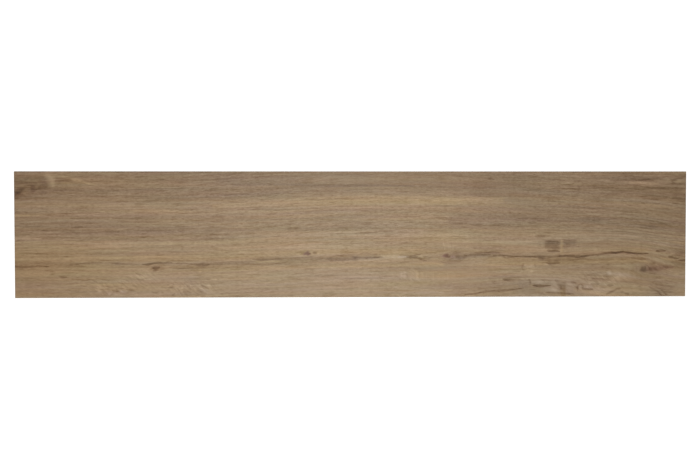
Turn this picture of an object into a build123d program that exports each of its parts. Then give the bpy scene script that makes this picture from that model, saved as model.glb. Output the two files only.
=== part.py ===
from build123d import *
import os

# A glue-down luxury vinyl floor plank, lying face up with its back on the floor.
# It is one laminated sheet, punched square out of the pressed board: no tongue, groove or lock.
# Origin at the middle of the back, +X along the plank, +Y across it, +Z out of the wear face.

# Driving dimensions, in millimetres
PLANK_LENGTH = 1219.2  # 48 in
PLANK_WIDTH = 228.6  # 9 in
PLANK_THICKNESS = 2.5
BEVEL_RUN = 0.6  # micro-bevel round the wear face, measured in from the edge
BEVEL_DROP = 0.3  # and the same bevel measured down from the wear face
BEVEL_EASING = 0.8  # radius by which the hot press rolls the wear face over into the bevel
BACK_ARRIS = 0.15  # the sharp lower edge, broken by the punch as it comes through the back


def punched_blank():
    """The plain sheet as it is stamped out of the board, its back on Z = 0."""
    outline = Rectangle(PLANK_LENGTH, PLANK_WIDTH)
    return extrude(outline, PLANK_THICKNESS)


def wear_face(sheet):
    """The upper face of a sheet, which carries the wood print."""
    return sheet.faces().sort_by(Axis.Z)[-1]


def back_face(sheet):
    """The lower face of a sheet, which is glued to the floor."""
    return sheet.faces().sort_by(Axis.Z)[0]


def with_micro_bevel(sheet):
    """Bevels the four edges of the wear face, mitred at the corners, and rolls the face over into them."""
    face = wear_face(sheet)
    bevelled = chamfer(face.edges(), length=BEVEL_RUN, length2=BEVEL_DROP, reference=face)
    return fillet(wear_face(bevelled).edges(), radius=BEVEL_EASING)


def with_broken_back(sheet):
    """Takes the sharp arris off the four edges of the back, so that they bed flat into the glue."""
    return chamfer(back_face(sheet).edges(), length=BACK_ARRIS)


plank = with_broken_back(with_micro_bevel(punched_blank()))

os.makedirs("parts", exist_ok=True)
export_step(plank, "parts/plank.step")
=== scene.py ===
"""An oak-look vinyl floor plank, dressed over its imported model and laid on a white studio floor."""

import logging
import math
from collections.abc import Callable
from dataclasses import dataclass
from enum import Enum

import bpy
import numpy as np
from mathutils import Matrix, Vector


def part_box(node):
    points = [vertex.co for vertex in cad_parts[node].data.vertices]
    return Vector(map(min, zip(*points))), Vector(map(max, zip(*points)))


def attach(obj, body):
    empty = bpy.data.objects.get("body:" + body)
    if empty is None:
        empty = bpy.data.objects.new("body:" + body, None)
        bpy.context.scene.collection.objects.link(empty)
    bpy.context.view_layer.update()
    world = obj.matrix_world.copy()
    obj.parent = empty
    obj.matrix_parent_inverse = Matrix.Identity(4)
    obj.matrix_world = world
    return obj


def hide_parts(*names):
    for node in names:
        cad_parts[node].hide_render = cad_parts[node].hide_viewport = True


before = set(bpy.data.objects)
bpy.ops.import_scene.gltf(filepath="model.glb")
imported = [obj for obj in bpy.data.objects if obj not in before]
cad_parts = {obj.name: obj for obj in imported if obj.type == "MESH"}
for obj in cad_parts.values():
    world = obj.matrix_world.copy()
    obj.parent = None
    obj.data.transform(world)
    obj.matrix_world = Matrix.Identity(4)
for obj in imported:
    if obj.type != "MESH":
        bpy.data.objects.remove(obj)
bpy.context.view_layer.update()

LOG = logging.getLogger("plank")

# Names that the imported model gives
PLANK_NODE = "plank"
PLANK_BODY = "root"

# The figure and the mesh are worked out in millimetres, and Blender's objects are in metres
MM = 0.001

# Lightness is counted in steps of the 8-bit scale, up or down from the print's middle tone
MIDDLE_TONE = 146.9

# Names of the figure's values on the mesh, which the print reads
GRAIN = "grain_across"
TONE = "tone"
GOLD = "gold"
PLUM = "plum"
ROSY = "rosy"
FLECK = "ray_fleck"
LIVELY = "lively"
LINE_REACH = "line_reach"
LINE_TONE = "line_tone"

# The bake's own map and the shares of it that things take, upwards from its foot: the strips of the four
# sides, the back and the wear face, which fills most of the map as the grain is finest across the plank
BAKE_MAP = "OFBake"
MAP_MARGIN = 0.002
MAP_RUN = 0.996
SIDE_STEP = 0.02
SIDE_RISE = 0.016
BACK_FOOT = 0.082
BACK_RISE = 0.158
FACE_FOOT = 0.252
FACE_RISE = 0.746

# A face counts as looking one way if its normal reaches this far that way
FACING = 0.5

# A noise swings about this value
NOISE_MIDDLE = 0.5

# A colour mix's sockets by number, as kinds of mix that aren't in use share their names
MIX_SHARE = 0
MIX_A = 6
MIX_B = 7
MIX_RESULT = 2

Array = np.ndarray
Path = tuple[tuple[float, float, float], ...]
Socket = bpy.types.NodeSocket
Colour = tuple[float, float, float, float]
AddNode = Callable[..., bpy.types.Node]


def linear(hex_colour: str) -> Colour:
    """Turns an sRGB hex colour into the linear colour that a shader takes.

    Args:
        hex_colour: Six hex digits after a hash sign.

    Returns:
        Red, green, blue and an alpha of 1.
    """
    levels = [int(hex_colour[i : i + 2], 16) / 255 for i in (1, 3, 5)]
    red, green, blue = (c / 12.92 if c <= 0.04045 else ((c + 0.055) / 1.055) ** 2.4 for c in levels)
    return red, green, blue, 1.0


class Edge(Enum):
    """How a mark fades at its rim: the power of its falloff."""

    SOFT = 2.0
    FIRM = 4.0
    SQUARE = 10.0


def falloff(reach: Array, edge: Edge) -> Array:
    """Gives a mark's strength, 1 on its line and nothing far from it.

    Args:
        reach: Distance from the mark's middle, in its half-widths.
        edge: How it fades.

    Returns:
        The strength at each point.
    """
    return np.exp(-(reach**edge.value))


# A line this much darker than the board is pressed in the deepest
DEEPEST_LINE = 50.0
# How many half-widths away a mark has died out
FAR = 4.0
# Straight runs that a path's curve has between two of its points
RUNS = 6
# How far a knot's ragged rim swings, in three lobes and in five
THREE_LOBES = 0.13
FIVE_LOBES = 0.1
# How far a knot parts the grain along the plank and across it, in the knot's half-axes
PARTING_ALONG = 3.0
PARTING_ACROSS = 2.2


def smooth_path(path: Path) -> Array:
    """Draws a Catmull-Rom curve through a path.

    Args:
        path: Points as (x, y, half-width), in millimetres.

    Returns:
        The curve's points, in rows like the path's.
    """
    points = np.array([path[0], *path, path[-1]], float)
    shares = np.linspace(0.0, 1.0, RUNS, endpoint=False)[:, None]
    curve = []
    for before, start, end, after in zip(points, points[1:], points[2:], points[3:]):
        bend = 2 * before - 5 * start + 4 * end - after
        twist = 3 * start - before - 3 * end + after
        curve.append(start + 0.5 * shares * (end - before + shares * (bend + shares * twist)))
    return np.vstack([*curve, points[-1:]])


def reach_from(path: Path, x: Array, y: Array) -> Array:
    """Measures how far points lie from a path, in the path's half-widths there.

    Args:
        path: Points as (x, y, half-width), in millimetres.
        x: Where each point lies along the plank.
        y: Where each point lies across it.

    Returns:
        The distances, FAR where a point is out of reach.
    """
    line = smooth_path(path)
    margin = FAR * line[:, 2].max()
    low, high = line.min(0) - margin, line.max(0) + margin
    near = (x > low[0]) & (x < high[0]) & (y > low[1]) & (y < high[1])
    best = np.full(near.sum(), FAR)
    for (x0, y0, half0), (x1, y1, half1) in zip(line, line[1:]):
        run, rise = x1 - x0, y1 - y0
        along = np.clip(((x[near] - x0) * run + (y[near] - y0) * rise) / (run**2 + rise**2), 0, 1)
        gap = np.hypot(x[near] - x0 - along * run, y[near] - y0 - along * rise)
        best = np.minimum(best, gap / (half0 + along * (half1 - half0)))
    reach = np.full(x.shape, FAR)
    reach[near] = best
    return reach


@dataclass(frozen=True)
class Swell:
    """A long swell in the grain, whose lines rise by `lift` at its middle. Millimetres."""

    x: float
    y: float
    reach_x: float
    reach_y: float
    lift: float

    def rise(self, x: Array, y: Array) -> Array:
        """How far the swell lifts the grain at each point."""
        along, across = (x - self.x) / self.reach_x, (y - self.y) / self.reach_y
        return self.lift * np.exp(-(along**2) - across**2)


@dataclass(frozen=True)
class Knot:
    """A knot: a dark heart, with the grain parting round it. Sizes are half-axes in millimetres."""

    x: float
    y: float
    half_x: float
    half_y: float
    tone: float
    gold: float = 0.0
    plum: float = 0.0
    parting: float = 0.85

    def reach(self, x: Array, y: Array) -> Array:
        """Measures how far points lie from the heart, the rim drawn ragged.

        Args:
            x: Where each point lies along the plank.
            y: Where each point lies across it.

        Returns:
            The distances in the heart's own half-axes.
        """
        along, across = (x - self.x) / self.half_x, (y - self.y) / self.half_y
        turn = np.arctan2(across, along)
        ragged = 1 + THREE_LOBES * np.cos(3 * turn + self.x) + FIVE_LOBES * np.cos(5 * turn + self.y)
        return np.hypot(along, across) * ragged

    def strength(self, x: Array, y: Array) -> Array:
        """How strongly the heart shows at each point."""
        return falloff(self.reach(x, y), Edge.FIRM)

    def part(self, x: Array, y: Array) -> Array:
        """How far the grain is pushed aside at each point, more along the plank than across it."""
        wide = np.hypot(
            (x - self.x) / (PARTING_ALONG * self.half_x), (y - self.y) / (PARTING_ACROSS * self.half_y)
        )
        return self.parting * (y - self.y) * np.exp(-(wide**2))


@dataclass(frozen=True)
class Streak:
    """Wood that is darker or paler along a path of (x, y, half-width) points, in millimetres."""

    path: Path
    tone: float
    gold: float = 0.0
    plum: float = 0.0
    edge: Edge = Edge.SOFT

    def strength(self, x: Array, y: Array) -> Array:
        """How strongly the streak shows at each point."""
        return falloff(reach_from(self.path, x, y), self.edge)


@dataclass(frozen=True)
class Patch:
    """A darker or paler patch, round or square, with half-axes in millimetres and a lean in degrees."""

    x: float
    y: float
    half_x: float
    half_y: float
    tone: float
    gold: float = 0.0
    plum: float = 0.0
    lean: float = 0.0
    edge: Edge = Edge.SOFT

    def strength(self, x: Array, y: Array) -> Array:
        """Works out how strongly the patch shows.

        Args:
            x: Where each point lies along the plank.
            y: Where each point lies across it.

        Returns:
            The strength at each point.
        """
        turn = math.radians(self.lean)
        along = (x - self.x) * math.cos(turn) + (y - self.y) * math.sin(turn)
        across = (y - self.y) * math.cos(turn) - (x - self.x) * math.sin(turn)
        power = self.edge.value
        return np.exp(-np.abs(along / self.half_x) ** power - np.abs(across / self.half_y) ** power)


@dataclass(frozen=True)
class Line:
    """A crack or another thin line, along a path of (x, y, half-width) points, in millimetres."""

    path: Path
    tone: float


# The grain rises towards the middle of the plank, arches over the right-hand knot and dips at the right end
SWELLS = {
    "whole length": Swell(85, 0, 300, 400, 13),
    "over the right knot": Swell(490, -38, 100, 40, 18),
    "beside the middle knot": Swell(290, -50, 130, 50, 6),
    "foot right of middle": Swell(345, -105, 85, 35, 15),
    "right end": Swell(660, 25, 130, 60, -17),
    "right corner": Swell(600, -80, 50, 35, -8),
}

# The knots, from the left end to the right
KNOTS = {
    "corner": Knot(-606, 75.5, 8, 4.6, -22, gold=0.3, parting=0.3),
    "left of middle": Knot(-356.6, -61.2, 6.2, 4.2, -46, gold=-0.2),
    "small purple": Knot(-83, -34.8, 6.2, 3.5, -52, gold=-0.6, plum=1.0),
    "middle heart": Knot(169, -39.2, 5.8, 3.2, -24, gold=-0.6, plum=0.9),
    "middle rim": Knot(197, -42.4, 8, 3.4, -20, gold=-0.3),
    "right": Knot(532.8, -64.6, 6.6, 6, -45, gold=-1.0),
}

# Broad parts of the board, paler or darker, more golden or greyer: first the bands along the grain, then
# patches from the left end to the right. The shades over both whole ends are painted shade, the light's
# falloff towards the plank's ends drawn into the print
BANDS = {
    "top strip": Streak(
        (
            (-640, 98, 36), (-420, 98, 36), (-230, 98, 35), (-120, 100, 33), (-40, 101, 30), (60, 102, 29),
            (150, 101, 30), (240, 99, 33), (350, 96, 36), (640, 94, 40),
        ),
        -14, gold=-0.35, edge=Edge.SQUARE,
    ),
    "golden band": Streak(
        (
            (-250, 50, 6), (-140, 57, 8), (-40, 61, 9), (40, 62, 10), (110, 61, 10), (170, 62, 9),
            (270, 62, 5),
        ),
        8, gold=0.8,
    ),
    "right middle": Streak(
        ((185, 24, 12), (300, 28, 21), (420, 28, 24), (640, 24, 27)),
        -11, gold=-0.4, edge=Edge.FIRM,
    ),
    "left middle": Streak(
        ((-640, 7, 15), (-400, 7, 14), (-250, 8, 12), (-100, 13, 9), (30, 18, 6)),
        -7, gold=-0.2,
    ),
    "over the crack": Streak(
        ((-640, -21, 10), (-300, -18, 11), (-100, -20, 12), (100, -17, 10), (330, -15, 7)),
        6, gold=0.3,
    ),
    "along the crack": Streak(
        ((-640, -45, 8), (-450, -43, 8), (-250, -42, 7), (-50, -33, 6), (120, -30, 6)),
        3, gold=0.9,
    ),
    "under the crack": Streak(
        ((-640, -66, 7), (-400, -64, 6), (-200, -61, 6), (20, -56, 5), (160, -56, 5)),
        2, gold=0.7,
    ),
    "crack right": Streak(((250, -46, 7), (350, -49, 7), (440, -49, 7), (530, -46, 6)), -5, gold=0.8),
    "over crack right": Streak(((280, -29, 5), (380, -31, 5), (450, -29, 5), (540, -27, 5)), 3, gold=0.6),
    "foot": Streak(((-640, -94, 24), (-200, -91, 27), (100, -91, 28), (640, -92, 25)), 6, edge=Edge.FIRM),
    "middle pale": Streak(((-215, -3, 7), (-120, -1, 8), (0, -1, 9), (110, 0, 9), (205, -2, 7)), 10),
    "over the crack left": Streak(((-590, -20, 8), (-300, -19, 8), (-150, -18, 9), (-70, -20, 8)), 4),
    "strip foot": Streak(((-130, 73, 5), (-20, 75, 6), (80, 77, 6), (210, 73, 6)), 7),
    # Painted shade: the print darkened over the whole left end, standing in for the light falling off there
    "left end painted shade": Patch(-604, 18, 16, 46, -4),
    "left end low shade": Patch(-590, -34, 20, 5, -4),
    "left end upper dark": Patch(-583, 63, 34, 5, -7),
    "golden left corner": Patch(-580, -76, 60, 17, 0, gold=0.6),
    "golden left end": Patch(-570, -30, 95, 13, 0, gold=0.65),
    "left end middle": Patch(-560, 33, 70, 9, -3),
    "left top warm": Patch(-530, 93, 100, 20, 0, gold=0.7),
    "left crack gold": Patch(-530, -18, 80, 8, 0, gold=0.25),
    "left end dark": Patch(-505, 17, 110, 8, -6),
    "golden left foot": Patch(-500, -60, 60, 12, 0, gold=0.35),
    "left middle shade": Patch(-500, 16, 60, 6, -3),
    "under crack gold": Patch(-500, -57, 90, 7, 0, gold=0.3),
    "left low gold": Patch(-490, -72, 125, 40, 0, gold=0.35),
    "foot left gold": Patch(-480, -92, 130, 8, 0, gold=0.25),
    "left end upper": Patch(-475, 95, 90, 14, 5),
    "under crack far left": Patch(-470, -58, 26, 5, 5),
    "upper left gold": Patch(-470, 54, 110, 7, 0, gold=0.35),
    "upper left": Patch(-420, 53, 80, 7, 3),
    "top left pale": Patch(-400, 88, 115, 7, 4),
    "low pale a": Patch(-385, -75, 50, 9, 13),
    "low pale b": Patch(-370, -105, 34, 8, 8),
    "upper left pale": Patch(-308, 90, 28, 7, 4),
    "under crack shade": Patch(-285, -58, 50, 6, -5),
    "low pale c": Patch(-255, -105, 28, 7, 7),
    "left crack shade": Patch(-254, -34, 26, 4, -5),
    "over crack gold": Patch(-250, -32, 330, 6, 0, gold=0.3),
    "low left gold": Patch(-240, -74, 110, 9, 0, gold=0.25),
    "greyed over middle": Patch(-175, 50, 75, 16, 0, gold=-0.5),
    "under crack left": Patch(-135, -58, 50, 7, 4),
    "upper middle": Patch(-130, 36, 90, 9, 6),
    "purple gold": Patch(-104, -33, 18, 3.5, -5, gold=0.4),
    "over crack pale": Patch(-100, -19, 52, 8, 5),
    "strip shade": Patch(-90, 88, 30, 7, -5),
    "left top tail": Patch(-90, -20, 120, 8, 0, gold=-0.25),
    "top pale": Patch(-60, 103, 130, 7, 7),
    "centre pale": Patch(-60, -1, 100, 9, 8),
    "under lens": Patch(-37, -58, 30, 6, 4),
    "middle low grey": Patch(-20, -75, 110, 8, 0, gold=-0.25),
    "greyed middle": Patch(0, 42, 85, 16, 0, gold=-0.25),
    "greyed foot": Patch(0, -82, 80, 12, 0, gold=-0.4),
    "low pale d": Patch(5, -104, 70, 7, 8),
    "low pale e": Patch(15, -72, 40, 8, 6),
    "top strip grey": Patch(15, 94, 50, 12, 0, gold=-0.3),
    "lens pale": Patch(18, -47, 30, 6, 9),
    "golden foot": Patch(20, 52, 125, 7, 6, gold=0.2),
    "tongue foot": Patch(25, -46, 45, 4.6, 9),
    "knot pale": Patch(72, -34, 28, 5, 10),
    "ray foot": Patch(88, -80.6, 34, 2.4, -10),
    "golden right of middle": Patch(135, -25, 38, 40, 0, gold=0.4),
    "right middle gold": Patch(165, -4, 60, 9, 0, gold=0.5),
    "by the middle knot": Patch(180, -19, 28, 8, 4),
    "golden end grey": Patch(210, 68, 50, 11, 0, gold=-0.35),
    "wedge shade": Patch(235, -34, 25, 5, -5),
    "strip foot shade": Patch(236, 83, 28, 12, -8),
    "under middle knot": Patch(250, -58, 48, 8, 7, gold=0.3),
    "low right gold": Patch(250, -74, 110, 9, 0, gold=0.25),
    "lower right": Patch(275, -93, 62, 17, -10, gold=-0.2),
    "crack right gold": Patch(280, -31, 120, 7, 0, gold=0.3),
    "top dark": Patch(290, 97, 45, 12, -8, gold=-0.2),
    "right middle low": Patch(290, 14, 34, 7, -4),
    "right middle shade": Patch(292, 16, 20, 6, -5),
    "right middle grey": Patch(310, -12, 80, 9, 0, gold=-0.4),
    "upper right shade": Patch(330, 55, 36, 9, -5),
    "curl shade": Patch(345, -59, 28, 5, 5),
    "top pale right": Patch(345, 103, 24, 5, 5),
    "bottom right": Patch(370, -98, 50, 16, -7, gold=-0.7),
    "crack right shade": Patch(400, -46, 27, 5, -16, gold=0.4),
    "upper right dark": Patch(400, 54, 28, 6, -4),
    "strip foot right": Patch(410, 72, 50, 7, 7),
    "foot shade pale": Patch(416, -108, 26, 4, 5),
    "bottom pale": Patch(440, -108, 24, 5, 4),
    "over crack shade": Patch(450, -33, 70, 4, -3),
    "low pale f": Patch(455, -104, 28, 8, 13),
    "right end grey": Patch(470, -10, 80, 9, 0, gold=-0.25),
    "under crack far": Patch(480, -58, 50, 6, 4, gold=0.3),
    "right foot shade": Patch(508, -91, 28, 7, -5),
    "top dark right": Patch(510, 103, 34, 6, -19),
    "low dark left": Patch(515, -90, 40, 8, -6),
    "right knot gold": Patch(520, -48, 34, 8, 0, gold=0.35),
    "round the right knot": Patch(537, -66, 30, 14, -11, gold=0.3),
    "right end middle": Patch(545, 17, 52, 8, -11),
    "upper right pale": Patch(560, 53, 55, 8, 4),
    "right low shade": Patch(560, -92, 34, 9, -5),
    "low dark": Patch(563, -94, 24, 15, -11),
    "top right low shade": Patch(563, 88, 26, 5, -9),
    "low right shade": Patch(565, -105, 30, 9, -8, gold=-1.1),
    "bottom shade": Patch(575, -106, 26, 6, -4),
    "top right shade": Patch(590, 104, 22, 5, -5),
    "right end": Patch(600, -55, 26, 12, -8, gold=0.4),
    "right edge low": Patch(602, -60, 13, 8, -7),
    "right end low shade": Patch(602, -34, 9, 5, -5),
    "right edge": Patch(603, -36, 13, 8, -21),
    # Painted shade: the print darkened over the whole right end, standing in for the light falling off there
    "right end painted shade": Patch(604, 10, 14, 60, -3),
}

# Smudges, streaks and spots, from the left end to the right
PATCHES = {
    "pale left end": Streak(((-613, -6.2, 1.9), (-594, -6.2, 2), (-578, -6.4, 1.6), (-562, -7, 1.2)), 24),
    "golden line": Streak(
        (
            (-612, -43, 2.6), (-570, -42, 2.2), (-535, -43, 2), (-500, -41, 1.6), (-470, -41.6, 2.6),
            (-420, -42, 2.4),
        ),
        7, gold=0.4,
    ),
    "brown over crack": Streak(
        ((-612, -52.5, 5), (-570, -52, 4.4), (-530, -54, 4), (-490, -57, 3)),
        -10, gold=0.1,
    ),
    "corner under": Patch(-604.6, 68.6, 6, 4.6, -15, gold=0.3),
    "warm edge": Patch(-603, -61.6, 10, 2.2, -9, gold=0.4),
    "corner wedge": Patch(-602, 75.6, 8, 4.4, -24, gold=0.3, lean=24),
    "corner over": Patch(-600, 83, 8, 3.4, -14),
    "corner shoulder": Streak(
        (
            (-597, 81, 3), (-588, 85, 3.6), (-578, 85.4, 4.4), (-570, 82.4, 3.6), (-562, 85, 4.4),
            (-552, 88, 4),
        ),
        -14, gold=0.1,
    ),
    "corner bark": Patch(-597, 89.4, 11, 1.8, 14, gold=0.2),
    "corner dark": Patch(-593, 79, 16, 9, -9, gold=0.3),
    "left olive": Patch(-592, 35, 16, 1.6, 6, gold=0.7),
    "corner pale": Patch(-588.6, 77, 4.4, 6, 8, gold=0.5),
    "corner shade": Patch(-586, 97, 28, 12, -17, gold=0.2, edge=Edge.FIRM),
    "warm left": Patch(-585, -70, 32, 5, 3, gold=0.7),
    "corner block": Patch(-575.6, 83.4, 4.6, 8, -18, plum=0.3, edge=Edge.FIRM),
    "corner lid": Patch(-569, 102, 10, 5, 10, gold=0.4),
    "corner calm": Patch(-568, 94.4, 21, 1.6, 9),
    "corner sill": Streak(((-566, 83.6, 2), (-540, 83.6, 2.8), (-518, 82, 1.6)), -10, gold=-0.2),
    "grey low left": Patch(-560, -87, 50, 7, -4, gold=-0.5),
    "purple by corner": Patch(-556, 76, 6.5, 2, -17, gold=-0.9),
    "corner cap": Patch(-555.5, 94, 7, 8.6, -16, gold=-0.3, plum=0.2),
    "swirl": Streak(
        ((-549, 107, 6.5), (-545, 101, 8.5), (-541.4, 95, 6.5), (-539.6, 90, 4.5)),
        19, gold=0.1,
    ),
    "swirl middle": Patch(-544, 102.4, 7, 3, 12, gold=0.1),
    "spot": Patch(-542, -72, 4.2, 2.2, -20, gold=0.4),
    "swirl right": Patch(-538, 100, 5, 7, 6, gold=0.1),
    "swirl arc": Streak(((-535, 97, 2.4), (-527, 98.4, 3.4), (-517, 98.8, 3.4), (-507, 98, 2.2)), -14),
    "swirl roof": Patch(-521, 104, 14, 2, 23, gold=0.4),
    "swirl eye": Patch(-518, 93, 11, 2.4, 8, gold=0.5),
    "golden fleck": Patch(-514, -43.5, 6, 2.2, 9, gold=0.4),
    "swirl lens": Patch(-513, 101, 9, 6, 8, gold=0.2),
    "golden brown": Patch(-509, -48, 3, 4, -9, gold=0.3),
    "swirl tail": Streak(
        ((-506, 100, 3.2), (-496, 97.6, 3.8), (-486, 94.8, 2.6), (-476, 91.8, 1.7), (-462, 89.4, 1.2)),
        21, gold=0.5,
    ),
    "pale shelf": Patch(-465, -63, 45, 1.8, 8, gold=0.2),
    "wave bright a": Patch(-458, -104, 4, 3, 11, gold=-0.4, lean=-25),
    "fleck pale a": Patch(-457, -102, 5, 3, 8, gold=0.2),
    "wave bright b": Patch(-446, -92, 8, 5, 7, gold=0.2),
    "wave bright c": Patch(-442, -107, 4.4, 2.6, 14, gold=-0.6, lean=-25),
    "grey left": Patch(-440, -19, 28, 3.4, 6),
    "fleck pale b": Patch(-439, -106, 3.4, 2.4, 10, gold=-0.3),
    "wave bright d": Patch(-431, -108, 6, 3, 15, gold=-0.6, lean=-25),
    "fleck pale c": Patch(-426, -107, 5, 2, 12, gold=-0.2),
    "fleck dark a": Patch(-425.5, -102.6, 3, 2, -15),
    "crack grey left": Patch(-425, -52, 6, 3, -13, gold=-0.6),
    "wave bright e": Patch(-419, -102.6, 5, 2.4, 13, gold=-0.6, lean=-30),
    "fleck blue": Patch(-414, -103, 6, 3, 8, gold=-0.9),
    "fleck dark b": Patch(-402, -101, 4, 1.8, -17),
    "fleck pale d": Patch(-397, -105, 4.5, 2.4, 10, gold=-0.3),
    "pale long left": Streak(
        ((-395, 43.5, 1.6), (-380, 44, 2.2), (-345, 43, 2.4), (-305, 43, 1.8)),
        12, gold=0.2,
    ),
    "knot left wing": Patch(-364, -62.6, 4, 2, -13, gold=0.3, lean=30),
    "knot foot spur": Patch(-358.6, -65.4, 2.8, 2.8, -16, gold=0.2),
    "knot heart": Patch(-356, -61.4, 3.4, 3, -14),
    "knot right wing": Patch(-349.6, -58.4, 3.4, 2.6, -13, lean=-35),
    "pink over crack": Patch(-346, -46.4, 16, 2.4, 4, gold=0.6),
    "knot shade": Patch(-345, -61, 3, 4.4, -8),
    "pale left mid": Patch(-335, -15, 17, 1.9, 9, gold=0.3),
    "pale under crack": Patch(-333, -57.6, 13, 1.5, 10, gold=-0.3),
    "feather blob": Patch(-326, -102, 4.4, 3, 11, gold=0.1),
    "olive smudge": Patch(-296, -47.6, 7, 2, -11, gold=0.5),
    "blue grey": Patch(-292, -84, 16, 11, 0, gold=-0.6),
    "bright dot": Patch(-276, -66.6, 2.2, 1.6, 16, gold=0.2),
    "crack under": Patch(-273, -57.5, 9, 2.2, -15),
    "feather block": Patch(-270, -100.6, 8, 3.4, 12, gold=-0.9, lean=-15, edge=Edge.FIRM),
    "crack fades": Streak(
        ((-262, -54, 1.6), (-240, -52.4, 2), (-212, -51.8, 2.4), (-180, -51.6, 2.2)),
        -14, gold=-0.1,
    ),
    "crack smudge": Patch(-254, -48.6, 6, 2.2, -20, gold=0.2),
    "purple top left": Patch(-222, 99, 22, 6, -8, gold=-0.8),
    "blue streak": Streak(
        ((-215, 90, 1.4), (-130, 90, 1.8), (-70, 89, 2.0), (0, 89, 2.4), (45, 89.5, 1.9), (110, 88, 1.3)),
        -10, gold=-1.0,
    ),
    "crack mid pale": Streak(((-176, -49.6, 1), (-150, -48.6, 1.6), (-128, -49.2, 1)), 10, gold=0.5),
    "lens before": Streak(
        ((-115, -46, 2), (-85, -45, 2.6), (-60, -43.4, 3), (-40, -43, 2.6)),
        -8, gold=-0.4,
    ),
    "lens brown": Patch(-59, -43, 5, 2.2, -12),
    "dark lens": Streak(
        ((-45, -43.6, 2.2), (-20, -44, 3.6), (0, -43.2, 3.8), (14, -42.3, 3.2), (40, -42, 2.4)),
        -17, gold=-0.25,
    ),
    "lens rim": Patch(-7, -48.9, 8, 1.4, 10),
    "lens spot": Patch(4, -44, 4.6, 3.6, -24, gold=-0.4),
    "lens blue": Patch(5, -40.6, 7, 1.5, -6, gold=-1.5),
    "lens pale foot": Streak(((12, -46.6, 1.2), (32, -46.8, 1.5), (52, -45, 1.4)), 10, gold=-0.3),
    "lens bridge": Patch(18, -42.4, 8, 2.4, -15, gold=-0.3),
    "lens tip": Streak(((25, -42, 2.4), (44, -41.6, 2.0), (56, -41.6, 0.8)), -13, gold=-0.5),
    "pale tongue": Streak(
        (
            (50, -42, 1.6), (58, -41.6, 3.4), (72, -41.6, 4), (84, -41.4, 3.4), (93, -40.8, 2),
            (101, -40.8, 1),
        ),
        25, gold=-0.1,
    ),
    "tongue lines": Patch(74, -73.4, 13, 1.3, 12),
    "ray spot pale": Patch(79, -95.4, 4.4, 2, 10, gold=-0.5),
    "ray spot a": Patch(79.6, -90.4, 3.4, 1.7, -15),
    "tongue bluish": Streak(((84, -41, 1.4), (93, -40.6, 2), (100, -40.6, 1.2)), 2, gold=-1.4),
    "ray block a": Patch(92, -72, 8, 6, 9, gold=-0.5, edge=Edge.FIRM),
    "ray spot b": Patch(103, -61, 3.6, 2.2, -13, gold=0.6),
    "ray spot pale b": Patch(107, -67, 6, 1.8, 8),
    "ray block b": Patch(108, -76, 7.6, 6, 7, edge=Edge.FIRM),
    "ray spot c": Patch(113.4, -63.4, 4.4, 2.6, -13, gold=0.4),
    "ray block c": Patch(122, -75.6, 7.6, 6, 6, gold=0.4, edge=Edge.FIRM),
    "pale eye": Patch(124, -40.2, 4, 1.8, 17, gold=0.1),
    "pale under eye": Streak(
        ((128, -51.4, 1.6), (142, -52.6, 2.4), (156, -54, 2), (166, -55.6, 1.4)),
        12, gold=0.4,
    ),
    "eye olive": Patch(131, -42.4, 3, 2.4, -14, gold=0.4),
    "pale foot": Patch(136, -104, 28, 6, 4, gold=-0.6),
    "eye brown": Patch(138, -45, 7, 4, -9, gold=-0.5),
    "golden glow": Streak(((146, 61, 4), (165, 63, 4), (190, 63, 3), (230, 64, 2)), 8, gold=0.5),
    "olive under knot": Patch(165, -76, 45, 7, -1, gold=0.8),
    "grey under knot": Patch(170, -92.5, 32, 4, -5, gold=-0.7),
    "knot under": Patch(174, -49, 10, 2.6, -9, gold=0.2),
    "knot plum": Patch(182, -41, 5.4, 2.2, 9, gold=-0.6, plum=0.6),
    "knot middle": Patch(184, -43.6, 12, 6.4, -12, gold=-0.6),
    "knot over": Patch(188, -34, 11, 4.4, -18, gold=0.1),
    "rosy foot": Patch(190, -105, 15, 6, -2, gold=-0.2, plum=0.15),
    "knot rim": Patch(196, -41.6, 7, 4.4, -12, gold=-0.4),
    "knot wedge": Streak(
        ((203, -38.6, 2), (222, -37, 3.2), (242, -35.6, 4.2), (259, -34, 3.6), (266, -33.4, 1.6)),
        -22, gold=-0.2,
    ),
    "knot wedge foot": Streak(((205, -42, 1.5), (230, -40, 2), (262, -40, 1.5)), -9, gold=-0.5),
    "pale by the knot": Patch(208, -23.6, 7, 1.5, 12, gold=0.6),
    "brown spot low": Patch(257, -87, 4.5, 4, -10),
    "dash shade": Patch(272, -76.4, 24, 2.8, -9, gold=-0.3),
    "brown line low": Patch(288, -76, 16, 2.2, -11),
    "curl pale a": Patch(307.4, -68, 2.2, 1.7, 13),
    "grey wedge": Patch(312, -91, 9, 6.5, -5, gold=-1.2, edge=Edge.FIRM),
    "curl pale b": Patch(315, -57.6, 4, 2, 9, gold=-0.3),
    "curl pale low": Patch(316, -69.6, 6, 1.6, 6),
    "grey foot": Patch(318, -105, 20, 6, -4, gold=-0.8),
    "curl pale c": Patch(318.6, -63, 1.8, 1.8, 10),
    "curl pale": Patch(322, -62.4, 11, 7.4, 10, gold=0.1, edge=Edge.FIRM),
    "curl pale d": Patch(327, -68, 2.4, 1.5, 15),
    "curl pale e": Patch(327, -58, 4.4, 2.4, 8, gold=-0.3),
    "bluish low": Patch(341.5, -88.4, 8, 3.4, 12, gold=-1.6, edge=Edge.FIRM),
    "dash above": Patch(343.5, -3.2, 9, 2.6, -24, gold=0.1, edge=Edge.FIRM),
    "crack smudge right": Patch(345, -44.8, 6.4, 4, -30, gold=-0.4),
    "foot spot": Patch(345, -108, 4, 2, -16, gold=-0.4),
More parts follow.
